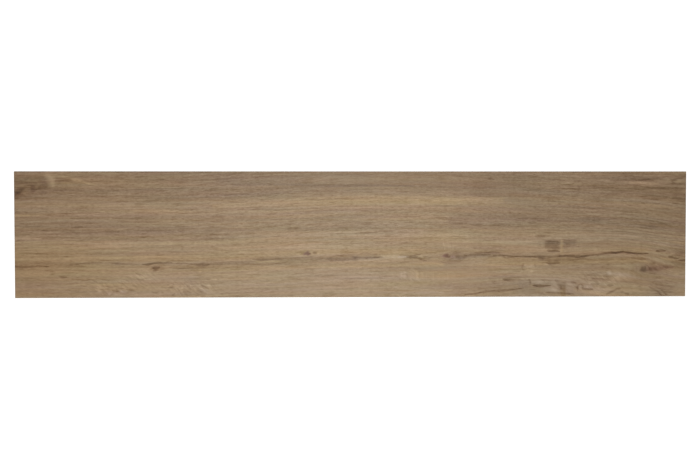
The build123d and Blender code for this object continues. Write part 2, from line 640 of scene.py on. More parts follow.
    "pale by the bar": Streak(((352, -54.6, 1.2), (356, -57, 1.6), (361, -60, 1.2)), 12, gold=-0.4),
    "wedge left low": Patch(360, -102, 14, 4.5, 9, gold=-0.9, edge=Edge.FIRM),
    "purple below": Patch(361, -55.8, 3, 1.5, -13, gold=-0.6),
    "block left top": Patch(363, -13.4, 13, 2.3, -26, gold=-0.7),
    "wedge pale left": Patch(364, -101, 12, 4, 6, gold=0.3),
    "block left": Patch(364.5, -19.5, 14.2, 7.6, -29, edge=Edge.SQUARE),
    "brown below": Patch(365, -49.4, 13.5, 4.4, -16, gold=0.2, edge=Edge.SQUARE),
    "wedge left": Patch(369, -95, 7, 11, 11, gold=-1.1, edge=Edge.FIRM),
    "pale strip": Patch(381.4, -23, 2.4, 13, 7, gold=0.7, edge=Edge.SQUARE),
    "wedge": Patch(384.5, -94.5, 5.6, 7, -17, gold=0.2, edge=Edge.SQUARE),
    "wedge stem": Patch(384.6, -106, 5.2, 7, -13, gold=1.0, edge=Edge.SQUARE),
    "block right low": Patch(388, -25, 5, 3, -8),
    "foot shade": Patch(389, -108.8, 18, 2.4, -12, gold=-0.2),
    "block right dark": Patch(391, -19, 3.4, 3.4, -16),
    "block right": Patch(396, -16, 12.6, 6.8, -18, gold=-0.4, edge=Edge.SQUARE),
    "wedge right": Patch(397, -96, 7, 10, 9, gold=-1.1, edge=Edge.FIRM),
    "spot right": Patch(404.5, -87.6, 5, 2.6, -24, gold=-0.2),
    "loop pale": Patch(410, -104, 3.4, 3, 9, gold=0.2),
    "loop inside": Patch(416.4, -97.4, 2.4, 3.6, 10, gold=-0.3),
    "comma a": Patch(430, -74.6, 4.6, 1.8, -20),
    "comma bluish": Patch(431, -95.6, 8, 3.4, 6, gold=-1.0, edge=Edge.FIRM),
    "comma brown": Patch(431, -103.4, 7, 1.6, -8, gold=0.3),
    "purple right": Patch(440, 26, 32, 4, -8, gold=-0.9),
    "comma b": Patch(444, -72.4, 3.2, 2, -20),
    "grey right low": Patch(445, -82, 28, 24, 0, gold=-0.4),
    "comma c": Patch(451, -70, 3, 1.6, -18),
    "bright spot": Patch(468.6, -71.4, 4, 4, 20, gold=-0.8, edge=Edge.FIRM),
    "bright patch": Patch(487, -75, 13, 8, 15, gold=-0.3),
    "crack peak": Patch(490, -32.8, 7, 1.5, -22),
    "bright patch foot": Patch(503, -79, 9, 6, 7, gold=-0.2),
    "lens pale": Streak(((506, 94, 1.8), (522, 93.4, 2.9), (540, 91.5, 3.2), (558, 92, 1.8)), 20, gold=0.4),
    "pale left of knot": Patch(506.6, -63.8, 3.4, 2.6, 13, gold=-0.5),
    "pale over knot": Streak(
        ((516, -47.6, 1.2), (528, -49.4, 1.6), (536, -51.6, 1.8), (541, -54, 1.2)),
        13, gold=0.5,
    ),
    "right knot shadow": Patch(521, -62, 5, 4.6, -10, gold=-0.3, plum=0.3),
    "golden over crack": Patch(526, -31, 14, 1.8, 5, gold=0.9),
    "right knot core": Patch(531, -66, 3, 3, -12, gold=-0.3),
    "right knot lift": Patch(538.4, -65, 2.6, 3.4, 15, gold=0.3),
    "right knot tail": Streak(
        ((541, -63.4, 3.8), (552, -62.6, 4.8), (564, -61.8, 4.8), (576, -61, 3.4), (587, -60.4, 1.6)),
        -22, plum=0.5,
    ),
    "pale blob": Patch(546, -94, 5, 2, 13, gold=-0.4),
    "right knot pale": Patch(547, -58.6, 3.4, 1.5, 10),
    "grey right": Patch(548, 15, 8, 3, -8, gold=-0.7),
    "right knot spot": Patch(550.6, -53.6, 3.4, 2.4, -34, gold=0.2),
    "lens pale upper": Patch(560, 96, 9, 2.4, 14),
    "right dark band": Patch(570, 80, 50, 7, -6),
    "pale by the eye": Patch(575, 99, 7, 4.5, 9),
    "golden right": Patch(575, -46, 14, 2.6, 9, gold=0.6),
    "pale right end": Patch(593, -72.6, 6, 2, 12, gold=0.6),
    "eye pale": Patch(597, 95.6, 6.4, 2.8, 20, gold=0.2),
}

# Thin lines: the pieces of the cracks first, then lesser lines, each from the left end to the right
LINES = {
    "crack left end": Line(
        ((-613, -57.8, 2), (-590, -57.4, 1.9), (-575, -57, 1.6), (-562, -57, 1.1), (-548, -57.6, 0.5)),
        -42,
    ),
    "crack dying": Line(((-556, -63.6, 0.8), (-546, -65.4, 1.5), (-538, -66.2, 0.8)), -12),
    "crack thin": Line(((-514, -54.8, 0.7), (-502, -53.4, 1.3), (-488, -52, 1.1)), -18),
    "crack thin lens": Line(
        ((-490, -52, 0.9), (-480, -51.2, 1.8), (-470, -50.4, 1.9), (-461, -50, 1.2), (-452, -49.8, 0.7)),
        -24,
    ),
    "crack thin up": Line(((-462, -48.6, 0.6), (-452, -47, 1.2), (-440, -46.6, 1)), -18),
    "crack thin upper": Line(((-452, -47, 0.6), (-436, -46, 1), (-414, -45, 1.2), (-400, -45, 0.5)), -19),
    "crack grey run": Line(
        ((-441, -49.6, 0.8), (-426, -52, 1.5), (-405, -53.6, 1.3), (-384, -54, 0.9)),
        -14,
    ),
    "crack over knot": Line(
        (
            (-380, -53.8, 1), (-370, -54, 2), (-362, -52, 1.9), (-351, -51, 1.8), (-341, -51.4, 1),
            (-332, -50.5, 1.6), (-325, -52, 0.7),
        ),
        -44,
    ),
    "crack below": Line(((-332, -60, 0.6), (-312, -61, 1.2), (-288, -60.4, 0.8)), -17),
    "crack left hair": Line(((-326, -52, 0.7), (-310, -52.2, 0.9), (-296, -53.4, 1)), -20),
    "crack left dark start": Line(
        ((-298, -53.4, 0.8), (-288, -54, 1.3), (-280, -54.8, 1.5), (-274, -55.2, 0.8)),
        -36,
    ),
    "crack left dark": Line(
        ((-279, -53.6, 0.9), (-271, -54, 2.1), (-264, -54, 1.6), (-259, -53.6, 0.7)),
        -52,
    ),
    "crack left tail": Line(((-262, -54, 0.8), (-249, -54.2, 0.9), (-236, -53.8, 0.7)), -12),
    "crack centre": Line(
        (
            (-182, -45, 0.8), (-165, -45.6, 1.7), (-150, -44.6, 1.6), (-138, -43.6, 2.2), (-122, -43.4, 2),
            (-110, -43, 1.4), (-96, -42.4, 1.3),
        ),
        -28,
    ),
    "crack centre low": Line(
        (
            (-182, -53.8, 0.7), (-164, -54.4, 1.1), (-148, -53.6, 0.8), (-130, -52.6, 1.2),
            (-117, -53, 1.7), (-112, -53, 0.5),
        ),
        -27,
    ),
    "crack centre end": Line(((-104, -42.6, 1), (-86, -41.6, 1.4), (-72, -41, 0.7)), -19),
    "crack right a": Line(((256, -39, 0.8), (274, -38.8, 1.5), (288, -39.8, 1.3), (300, -40.6, 1)), -38),
    "crack right b": Line(((276, -43.4, 0.6), (286, -43, 1.2), (294, -41.4, 0.8)), -26),
    "crack to saw": Line(
        (
            (296, -40.6, 1.2), (312, -41, 1.5), (330, -41.2, 1.5), (346, -42, 2.2), (357, -42, 1.8),
            (368, -41.8, 1.3), (380, -40.8, 1.3),
        ),
        -50,
    ),
    "crack saw top": Line(((369, -38.6, 0.8), (378, -38.4, 1.1)), -28),
    "crack main": Line(
        (
            (378, -40, 1.2), (388, -39.9, 1.6), (408, -40.2, 1.8), (421, -40.4, 1.9), (432, -38.8, 1.7),
            (444, -37.7, 1.4), (456, -36.4, 1.6), (468, -34.4, 1.8), (481, -34.4, 1.8), (490, -32.6, 1.6),
            (495, -31.8, 1.5),
        ),
        -60,
    ),
    "crack main low": Line(((406, -42.4, 0.7), (414, -42.6, 1.4), (424, -42.4, 0.8)), -46),
    "crack off peak": Line(
        ((493, -32, 1.5), (502, -33.4, 1.9), (511, -34.2, 1.5), (524, -35.6, 1.5), (541, -35.8, 0.8)),
        -54,
    ),
    "crack right dash": Line(((555, -31, 1), (561, -31.2, 2), (569, -31, 1.6), (573, -30.6, 0.6)), -50),
    "crack right speck": Line(((573, -34.2, 0.8), (578, -34.6, 1.4), (583, -35.2, 0.8)), -24),
    "crack right end": Line(
        ((577, -41.6, 0.9), (582, -42.4, 2.3), (588, -44, 1.5), (597, -45.2, 0.8)),
        -48,
    ),
    "crack corner": Line(((596, -48, 0.8), (604, -48.4, 1.8), (612, -48.6, 2)), -42),
    "left dark a": Line(
        ((-612, 41, 1.8), (-585, 41.6, 1.5), (-562, 41.6, 1.8), (-545, 41.4, 1.6), (-536, 40, 0.9)),
        -16,
    ),
    "left dark top": Line(((-612, -1.4, 1), (-600, -1.6, 1.5), (-588, -1.4, 0.8)), -14),
    "left dark b": Line(((-606, -9.8, 0.8), (-590, -10.2, 1.3), (-570, -9.8, 0.8)), -18),
    "left pale": Line(((-606, 47.4, 1), (-585, 47.4, 1.4), (-562, 46, 0.8)), 12),
    "left dark c": Line(((-600, 20, 0.8), (-588, 20, 1.5), (-572, 19, 0.8)), -15),
    "left dark d": Line(((-594, 13.6, 1), (-578, 13.4, 1.8), (-562, 14, 1)), -12),
    "left brown low": Line(((-590, -33, 1), (-566, -34, 1.7), (-540, -33.6, 1)), -10),
    "left dark e": Line(((-560, 8, 0.9), (-553, 6.8, 1.8), (-546, 6.4, 0.9)), -16),
    "under swirl": Line(((-540, 80, 0.9), (-510, 80, 1.2), (-470, 79, 1), (-450, 79.6, 0.7)), -12),
    "left dark f": Line(((-540, 4, 1), (-515, 4.4, 1.7), (-492, 4, 1)), -14),
    "left dark g": Line(((-532, 39.2, 0.8), (-516, 38, 1.5), (-500, 37.4, 0.8)), -13),
    "spot": Line(((-530, -75.4, 1.2), (-524, -76.2, 2.2), (-517, -76, 1.2)), -26),
    "fleck dark": Line(((-521, -39, 1.2), (-515, -39.4, 1.5)), -19),
    "left dark h": Line(((-510, 29.4, 0.8), (-495, 29.4, 1.4), (-474, 29, 1), (-446, 29, 0.7)), -15),
    "left dark i": Line(((-508, 12.6, 0.9), (-497, 13.4, 2), (-486, 13.6, 0.9)), -14),
    "wave left a": Line(
        ((-507, -80.4, 0.8), (-494, -81.4, 1.2), (-484, -82.8, 1.4), (-476, -81.6, 1), (-468, -81.6, 0.7)),
        -18,
    ),
    "low spot": Line(((-504, -102, 1), (-499, -103, 1.7), (-495, -102.6, 0.9)), -13),
    "left thin": Line(
        (
            (-494, -9, 0.6), (-480, -8.9, 0.9), (-470, -7.8, 1.3), (-463, -9.2, 0.9), (-430, -8.6, 0.7),
            (-395, -7.6, 0.9), (-372, -5, 0.6),
        ),
        -17,
    ),
    "swirl tail under": Line(((-493, 94, 0.8), (-484, 92, 1.2), (-474, 89.6, 1), (-462, 88.6, 0.7)), -14),
    "wave left b": Line(((-492, -91, 0.8), (-486, -93, 1.2), (-480, -93.4, 0.6)), -13),
    "left brown": Line(((-474, -35.4, 0.8), (-464, -34.4, 1.5), (-454, -32.8, 1.1)), -15),
    "wave left c": Line(((-470, -82.6, 0.8), (-464, -85.4, 1.4), (-460, -89, 0.7)), -16),
    "wave left d": Line(
        ((-464, -97, 0.7), (-456, -99, 1.4), (-440, -98.6, 1.1), (-430, -102, 1.5), (-424, -103.4, 0.8)),
        -18,
    ),
    "left dark j": Line(((-464, 40.2, 0.7), (-456, 40, 1.1), (-449, 40, 0.7)), -13),
    "left dark k": Line(((-464, 36.6, 0.7), (-456, 36.6, 1.1), (-448, 36.8, 0.7)), -12),
    "wave left e": Line(((-461, -68.4, 0.9), (-455, -69.4, 1.5), (-450, -70, 0.8)), -15),
    "left dark l": Line(((-460, 5, 1), (-440, 6, 1.8), (-422, 5, 1)), -15),
    "wave left f": Line(((-454, -80.6, 0.8), (-446, -82.4, 1.5), (-438, -82.2, 0.8)), -17),
    "wave left g": Line(((-440, -112, 1), (-436, -108, 1.2), (-434, -104.6, 0.8)), -14),
    "left dark m": Line(((-434, 29.2, 0.8), (-412, 29.4, 1.4), (-392, 29, 0.8)), -17),
    "wave left h": Line(((-428, -97.6, 0.8), (-420, -98, 1.4), (-413, -97, 0.8)), -17),
    "line top": Line(((-412, 90, 0.8), (-400, 90, 1.3), (-388, 90.4, 0.7)), -13),
    "line mid a": Line(
        (
            (-408, 18, 0.8), (-380, 18.6, 1.2), (-350, 18, 1), (-318, 16.8, 1.1), (-300, 14.6, 1),
            (-288, 12.4, 0.7),
        ),
        -13,
    ),
    "feather a": Line(((-405, -96.6, 0.9), (-400, -100.4, 1.7), (-393, -102, 0.9)), -21),
    "feather b": Line(((-399, -90.6, 0.8), (-392, -94, 1.3)), -14),
    "feather pale a": Line(((-399, -107.6, 0.9), (-391, -109.4, 1.5)), 13),
    "left dark n": Line(((-396, 8.2, 0.8), (-376, 8, 1.4), (-350, 8, 1), (-330, 8.4, 0.7)), -15),
    "feather c": Line(((-393, -68.6, 0.9), (-388, -72, 1.7), (-383, -73.4, 0.9)), -19),
    "feather pale b": Line(((-391, -72.6, 1), (-386, -77.6, 2), (-381, -80.4, 1)), 15),
    "feather d": Line(((-389, -82.6, 0.8), (-383, -83.6, 1.2)), -15),
    "left dark o": Line(((-382, 2.4, 0.8), (-377, 1.4, 1.6), (-371, 2.4, 0.8)), -12),
    "feather pale c": Line(((-378, -81, 0.8), (-372, -81, 1.5), (-366, -81.4, 0.8)), 15),
    "feather pale d": Line(((-377, -67.6, 0.9), (-373, -74, 1.5)), 11),
    "feather e": Line(((-364, -103.6, 0.9), (-357, -105, 1.7), (-351, -103, 0.8)), -23),
    "line mid b": Line(((-344, 40, 0.7), (-330, 39.4, 1.2), (-312, 39, 0.7)), -12),
    "feather pale e": Line(((-337, -96, 0.9), (-331, -92, 1.5), (-326, -90, 0.8)), 13),
    "feather f": Line(((-334, -98.4, 0.9), (-330, -95.4, 1.6), (-326, -96.4, 0.9)), -18),
    "feather g": Line(((-322, -106, 1), (-326, -109.4, 1.5)), -17),
    "feather h": Line(((-318.6, -97, 0.9), (-314.6, -101.6, 1.4)), -15),
    "left dark p": Line(((-318, 7.6, 0.8), (-311, 6.2, 1.8), (-304, 5.6, 0.8)), -13),
    "feather i": Line(((-312.6, -105, 0.9), (-309.6, -109.6, 1.5)), -15),
    "feather pale f": Line(((-311, -91, 0.8), (-309.6, -98, 1.3)), 11),
    "feather j": Line(((-307, -103.6, 1), (-303, -107.4, 1.9), (-300, -110, 1)), -20),
    "feather k": Line(((-305.6, -81, 0.8), (-303, -84, 1.2), (-305, -90, 0.8)), -12),
    "feather pale g": Line(((-304, -91, 0.9), (-300.6, -96, 1.5)), 12),
    "feather l": Line(((-300, -102.4, 0.8), (-293, -106, 1.3)), -14),
    "feather m": Line(((-299, -94, 0.9), (-295.6, -97.6, 1.8), (-293.6, -100.6, 0.9)), -20),
    "feather pale h": Line(((-295, -90, 0.9), (-293, -95, 1.6)), 14),
    "line mid c": Line(((-292, -7, 0.7), (-270, -8, 1.3), (-250, -7.8, 1.3), (-232, -7, 0.8)), -17),
    "feather n": Line(((-281, -99.6, 0.9), (-273, -105, 1.9), (-265, -107.6, 0.9)), -17),
    "line mid d": Line(((-280, 18, 0.8), (-262, 18.4, 1.2), (-244, 17.6, 0.8)), -9),
    "feather o": Line(((-276, -82, 0.8), (-262, -81.4, 1.2), (-249, -83, 0.8)), -13),
    "feather p": Line(((-274, -92.4, 0.9), (-267, -95, 1.8), (-261, -98.6, 0.9)), -21),
    "line mid e": Line(((-268, 7.6, 0.7), (-250, 7.4, 1.2), (-232, 6.6, 0.7)), -10),
    "feather pale i": Line(((-266, -91.4, 0.9), (-259, -92.6, 1.5)), 13),
    "feather pale j": Line(((-256, -81, 0.8), (-248, -82, 1.4)), 14),
    "red line": Line(((-208, -35.6, 0.6), (-195, -36.4, 1.1), (-182, -36.6, 0.5)), -12),
    "line low a": Line(((-163, -98.6, 0.7), (-156, -98.8, 1.3), (-148, -99.6, 0.7)), -11),
    "line low b": Line(((-122, -81.6, 0.6), (-106, -81.8, 1), (-90, -81, 0.6)), -10),
    "spot beside purple": Line(((-70.4, -33.2, 2), (-67.4, -33.4, 2)), -37),
    "fine line left": Line(((-48, 1.4, 0.6), (-25, 1.5, 1.1), (-10, 2, 0.6)), -15),
    "lens foot": Line(((-44, -46, 1), (-20, -46, 1.5), (0, -45.6, 1)), -14),
    "line low c": Line(((-40, -94, 0.7), (-20, -94.6, 1.1), (0, -93.6, 0.7)), -10),
    "lens roof line": Line(
        ((-36, -40, 0.7), (-15, -37.8, 1.3), (8, -35.8, 1.5), (25, -35.2, 1.3), (44, -37.2, 0.8)),
        -16,
    ),
    "fine line": Line(
        ((13, 3.8, 0.6), (25, 3, 1.1), (38, 3.6, 0.8), (48, 5, 1), (65, 5.4, 0.8), (76, 6.6, 0.4)),
        -24,
    ),
    "lens tip": Line(((38, -41.4, 0.8), (46, -41.8, 1.7), (54, -41.6, 1)), -20),
    "tongue lines low": Line(((54, -79, 0.6), (68, -78.6, 1), (82, -78.6, 0.6)), 11),
    "small lens": Line(((97.6, -41.2, 1), (104, -41.2, 2.1), (112, -41.2, 2.2), (117.4, -42, 1.4)), -46),
    "ray dark a": Line(((98.4, -73, 0.8), (98, -77, 1.5), (98.6, -80, 0.8)), -11),
    "ray dark b": Line(((103, -73, 0.7), (103.4, -78, 1.1), (103, -82, 0.7)), -7),
    "small lens top": Line(((105, -39, 0.7), (113, -38.2, 1.4), (120, -36.8, 1.2), (124, -36, 0.6)), -27),
    "small lens low": Line(((116, -42, 1.4), (122, -44.2, 1.9), (129, -47.2, 1.8), (134, -48, 1)), -26),
    "ray dark c": Line(((121, -72, 0.7), (121, -77, 1.2), (120.6, -83, 0.7)), -8),
    "ray dark d": Line(((151, -69, 0.7), (151, -76, 1.3), (151.4, -83, 0.7)), -8),
    "fan line a": Line(((159.6, -6, 0.6), (161.6, -14, 1), (165, -28, 0.7)), -11),
    "knot foot": Line(((161, -50.6, 1), (174, -53, 1.6), (188, -52, 1.5), (201, -46.6, 1)), -9),
    "fan pale a": Line(((163, -8, 0.8), (165.6, -18, 1.5), (168, -27, 1)), 14),
    "fan pale b": Line(((173, -11, 0.8), (174, -18, 1.2), (174.6, -27, 0.8)), 10),
    "fan line b": Line(((178, -10, 0.6), (180, -18, 0.8), (180, -28, 0.7)), -10),
    "knot right line": Line(((203, -39, 0.8), (222, -37.6, 1.4), (238, -37.4, 1.6), (252, -37, 0.8)), -17),
    "bottom line": Line(
        (
            (204, -110, 0.8), (220, -109, 1.3), (236, -105.8, 1.6), (252, -104, 1.6), (284, -102.2, 1.5),
            (312, -98.4, 0.9),
        ),
        -33,
    ),
    "blue right": Line(((214, 17.4, 1), (235, 16.4, 1.8), (262, 16.4, 1.5), (280, 16, 0.8)), -15),
    "knot wedge top": Line(((226, -35, 0.7), (244, -33, 1.2), (261, -31.8, 0.9)), -14),
    "line over": Line(((226, -13.8, 0.7), (246, -11.6, 1.3), (267, -9.6, 0.7)), -16),
    "dash top": Line(((247, 101.4, 1.6), (251, 101, 1.9), (258, 100, 0.9)), -18),
    "dash small": Line(((274, -82.2, 1), (281, -83, 2), (290, -82.6, 1), (308, -82, 0.5)), -38),
    "purple right a": Line(((303, 28.4, 1.2), (312, 28, 2.2), (319, 28, 1)), -16),
    "curl upper": Line(((311.6, -55, 1.2), (309.4, -60, 1.9), (312, -65.6, 1.9), (318.6, -68, 1.4)), -18),
    "curl middle": Line(((318, -56.4, 0.9), (315.4, -59.6, 1.4), (317, -63, 0.9)), -11),
    "purple right b": Line(((318, 21, 1), (327, 21, 2), (336, 21, 0.8)), -15),
    "curl lower": Line(((321.6, -83, 1.2), (324, -86.6, 1.9), (323.4, -92.6, 1.3)), -30),
    "dash strong": Line(
        ((329, -93.8, 1), (336, -94.2, 2.2), (344, -94.8, 2.5), (350, -94.6, 1.7), (362, -94, 0.9)),
        -56,
    ),
    "curl right": Line(((331, -53.6, 0.8), (333.6, -57.4, 1.6), (333.4, -61, 0.9)), -18),
    "dash over": Line(((345, -83.6, 0.8), (348.6, -85, 1.4), (350, -87, 0.7)), -18),
    "fold": Line(((352, -72, 0.8), (360, -74.4, 1.5), (366, -76.4, 0.8)), -13),
    "foot line": Line(
        ((352, -106.4, 0.8), (366, -107, 1.5), (380, -107.6, 1.7), (392, -108.8, 1.7), (403, -109.4, 1)),
        -28,
    ),
    "bar below": Line(((353, -52.6, 0.7), (361, -54, 1.5), (370, -53.6, 1.6), (379, -53, 1)), -31),
    "saw line": Line(((354, -30, 0.9), (361, -30.8, 1.9), (370, -30.2, 1.9), (378, -31.6, 0.9)), -48),
    "right dash a": Line(
        ((362, 51, 0.8), (372, 51.4, 1.6), (386, 50.6, 1.5), (406, 51.6, 1.4), (412, 51.6, 0.6)),
        -13,
    ),
    "wedge arm": Line(((370, -83.8, 1.6), (373, -87, 2.6), (376.4, -92, 2.8), (380, -98, 2.2)), -20),
    "right line a": Line(((392, 87, 0.9), (420, 87, 1.4), (445, 88, 0.8)), -11),
    "right line b": Line(((392, 83, 0.8), (415, 82.6, 1.3), (440, 84, 0.8), (475, 85, 1.6)), -12),
    "purple right c": Line(
        ((408, 30, 1), (432, 30, 1.4), (464, 29.4, 1), (500, 27, 1.8), (512, 26.4, 0.8)),
        -15,
    ),
    "loop": Line(
        (
            (411.4, -103, 1.2), (410.8, -98, 1.9), (412.4, -93.6, 1.6), (416, -92, 1.3), (419.6, -94, 1.8),
            (421, -100, 1.6),
        ),
        -30,
    ),
    "right dash b": Line(((418, 49.4, 0.7), (434, 48.2, 1.4), (452, 47.4, 1.2), (466, 47, 0.7)), -15),
    "comma low": Line(((422, -100.2, 1.1), (430, -100.8, 1.9), (438.4, -100.8, 1.2)), -28),
    "comma line": Line(((422.6, -80.6, 1.2), (425.4, -83, 2.2), (430, -84.4, 1.8), (438, -85.4, 1.1)), -30),
    "purple right d": Line(((424, 25.6, 0.8), (445, 25.6, 1.5), (470, 25, 0.9)), -12),
    "arch pale": Line(((424, -51.8, 0.9), (450, -51, 1.6), (480, -50, 1.5), (506, -51.4, 0.9)), 10),
    "arch low": Line(((424, -55.8, 0.7), (446, -55.4, 1.2), (472, -55.4, 1.2), (500, -56, 0.7)), -14),
    "under crack right": Line(
        ((430, -47.4, 0.7), (452, -46.6, 1.3), (478, -46, 1.1), (500, -46.8, 0.7)),
        -17,
    ),
    "brown dash a": Line(((437, -91, 1.4), (444, -91.4, 2), (451, -91, 1.2)), -20),
    "comma right": Line(((438, -81, 0.8), (450, -81.8, 1.6), (462, -83.6, 1.2), (470, -84, 0.7)), -22),
    "brown dash b": Line(((439, -85.6, 0.8), (446, -85.2, 1.4), (453, -86, 0.8)), -15),
    "brown dash c": Line(((452, -98.6, 1), (458, -98.2, 1.5), (463, -98.6, 0.8)), -18),
    "stroke rising": Line(((464, -110, 1.4), (473, -106, 2.3), (482, -101.6, 1.4)), -26),
    "brown dash d": Line(((466, -93.6, 1.4), (471, -94, 2.2), (476, -93.8, 1.2)), -28),
    "right line c": Line(((470, 89.4, 0.8), (496, 89, 1.4), (526, 89.4, 1)), -17),
    "right line d": Line(
        ((478, 83.4, 0.8), (505, 83.2, 1.3), (530, 82.4, 1.9), (565, 84.6, 1.4), (612, 83.4, 1.3)),
        -18,
    ),
    "brown dash e": Line(((482, -100, 1.4), (486, -100.4, 2.2), (490, -99.6, 1.2)), -24),
    "spot low a": Line(((491, -106, 1.8), (495, -106, 1.6)), -19),
    "right spot a": Line(((495, 59.6, 1), (501, 59.2, 1)), -13),
    "right spot b": Line(((498, 53.6, 0.7), (508, 52, 1.2)), -14),
    "spot low b": Line(((501, -109, 2), (504, -109.4, 2.2)), -22),
    "lens roof": Line(((508, 106, 0.8), (540, 106.4, 1.4), (566, 105.4, 1)), 14),
    "parallel right": Line(((509, -43.8, 0.8), (522, -45, 1.3), (531, -45.6, 1.8), (537, -46.6, 0.9)), -27),
    "right spot c": Line(((512, 47, 0.9), (518, 45.6, 1.2)), -12),
    "lens dark": Line(
        ((521, 98.6, 0.8), (533, 99.4, 1.8), (545, 100.8, 2), (557, 102.2, 2), (571, 103.4, 0.9)),
        -22,
    ),
    "spot low c": Line(((521, -96, 1.2), (526, -95.6, 1.5)), -20),
    "right spot d": Line(((527, 57, 1.2), (533, 56, 1.4)), -16),
    "right spot e": Line(((532, 36.6, 0.9), (540, 36, 1.3)), -15),
    "under tail": Line(((537, -70.6, 0.8), (548, -71.8, 1.3), (557, -72, 0.8)), -15),
    "right spot f": Line(((540, 24, 0.9), (552, 23.4, 1.2)), -13),
    "arc inner": Line(((542, -96.4, 1), (551, -100, 1.9), (557.6, -104, 1.9), (565, -112, 1.7)), -25),
    "right end dash": Line(((545, 63.4, 0.8), (553, 63, 1.3), (560, 63.4, 0.6)), -14),
    "right spot g": Line(((554, 56, 1.2), (561, 55.6, 1.2)), -14),
    "pale line low": Line(((554, -83.8, 0.8), (568, -83.6, 1.5), (585, -83.6, 0.9)), 11),
    "dark line low": Line(((555, -79, 0.7), (563, -78.6, 1.2), (571, -79, 0.7)), -12),
    "right spot h": Line(((556, 20.4, 0.8), (564, 19.4, 1.3), (571, 19, 0.7)), -13),
    "arc pale": Line(((556, -100, 0.8), (564, -104.6, 1.4), (571, -112, 1)), 11),
    "arc outer": Line(((559, -99, 0.8), (565, -102, 1.6), (570, -106, 1.6), (575, -112, 1.5)), -22),
    "eye over": Line(((583, 96.4, 1.5), (589, 99.4, 1.6), (600, 103, 1.8), (612, 104.6, 1.8)), -19),
    "right end dark": Line(((583, 65.6, 0.8), (594, 65, 2.1), (612, 64.6, 1.7)), -22),
    "eye under": Line(((584, 94.6, 1.2), (593, 91.4, 1.2), (612, 91.6, 1)), -18),
    "right spot i": Line(((584, 55.6, 0.9), (592, 55.6, 1.5), (598, 55, 0.8)), -16),
    "right brown": Line(((585, -38.6, 0.8), (592, -38.8, 1.3), (600, -38.4, 0.8)), -13),
    # Upright pale rays under the middle knot
    **{f"ray at {x}": Line(((x, -66, 0.9), (x, -74, 1.9), (x, -83, 0.9)), 6) for x in (88.4, 94.6, 117)},
    **{f"ray at {x}": Line(((x, -69, 0.8), (x, -76, 1.5), (x, -83, 0.8)), 5) for x in (134, 147, 158, 173)},
}

# Where the cut shows the oak's rays as short pale feathers across the grain
RAY_PATCHES = {
    "left": Patch(-440, -97, 40, 15, 1),
    "left of middle": Patch(-385, -80, 28, 14, 1),
    "middle left": Patch(-290, -96, 45, 16, 1),
    "under the middle knot": Patch(108, -72, 18, 16, 1),
    "bottom right": Patch(420, -98, 50, 14, 0.7),
    "lower right": Patch(455, -80, 45, 13, 1),
}

# Where the streaks lie quieter than elsewhere, by this share of their swing, or livelier where it is below 0
QUIET_PATCHES = {
    "left upper": Patch(-410, 40, 205, 14, -0.2, edge=Edge.FIRM),
    "left over the crack": Patch(-370, -14, 255, 14, -0.15, edge=Edge.FIRM),
    "foot left of middle": Patch(-85, -95, 44, 11, 0.3),
    "top strip": Patch(78, 98, 220, 20, 0.6, edge=Edge.FIRM),
    "under the middle knot": Patch(160, -70, 85, 24, 0.55, edge=Edge.FIRM),
    "right of the middle": Patch(236, 12, 44, 13, 0.3),
    "strip foot": Patch(275, 70, 55, 17, 0.5),
    "upper right": Patch(316, 40, 42, 14, 0.25),
    "top right": Patch(395, 82, 44, 26, -0.15),
    "foot right": Patch(400, -97, 120, 12, 0.3, edge=Edge.FIRM),
    "right end": Patch(560, -14, 46, 14, -0.4),
}

# Where the print is redder than elsewhere, by this share of its full tint, or greener where it is below 0
ROSY_PATCHES = {
    "left end": Patch(-700, 0, 300, 1000, 0.64),
    "top corner": Patch(-580, 94, 40, 14, -0.35),
    "under the crack left": Patch(-440, -70, 100, 11, -0.25),
    "under the crack": Patch(-130, -70, 60, 11, -0.22),
    "upper middle": Patch(-90, 42, 420, 12, 0.26, edge=Edge.FIRM),
    "middle": Patch(-50, 17, 260, 11, -0.22, edge=Edge.FIRM),
    "top strip": Patch(-10, 94, 120, 13, -0.38),
    "foot of the middle": Patch(70, -95, 55, 12, -0.28),
    "under the middle knot": Patch(220, -70, 50, 12, 0.35),
    "strip right": Patch(335, 72, 65, 16, -0.36),
    "over the crack": Patch(350, -30, 190, 9, 0.38, edge=Edge.FIRM),
    "foot right": Patch(350, -96, 60, 12, -0.5),
    "upper right": Patch(395, 44, 35, 10, -0.4),
    "right middle": Patch(430, 8, 130, 24, -0.32, edge=Edge.FIRM),
    "lower right": Patch(430, -72, 50, 12, -0.4),
    "top right": Patch(520, 94, 45, 14, 0.38),
}


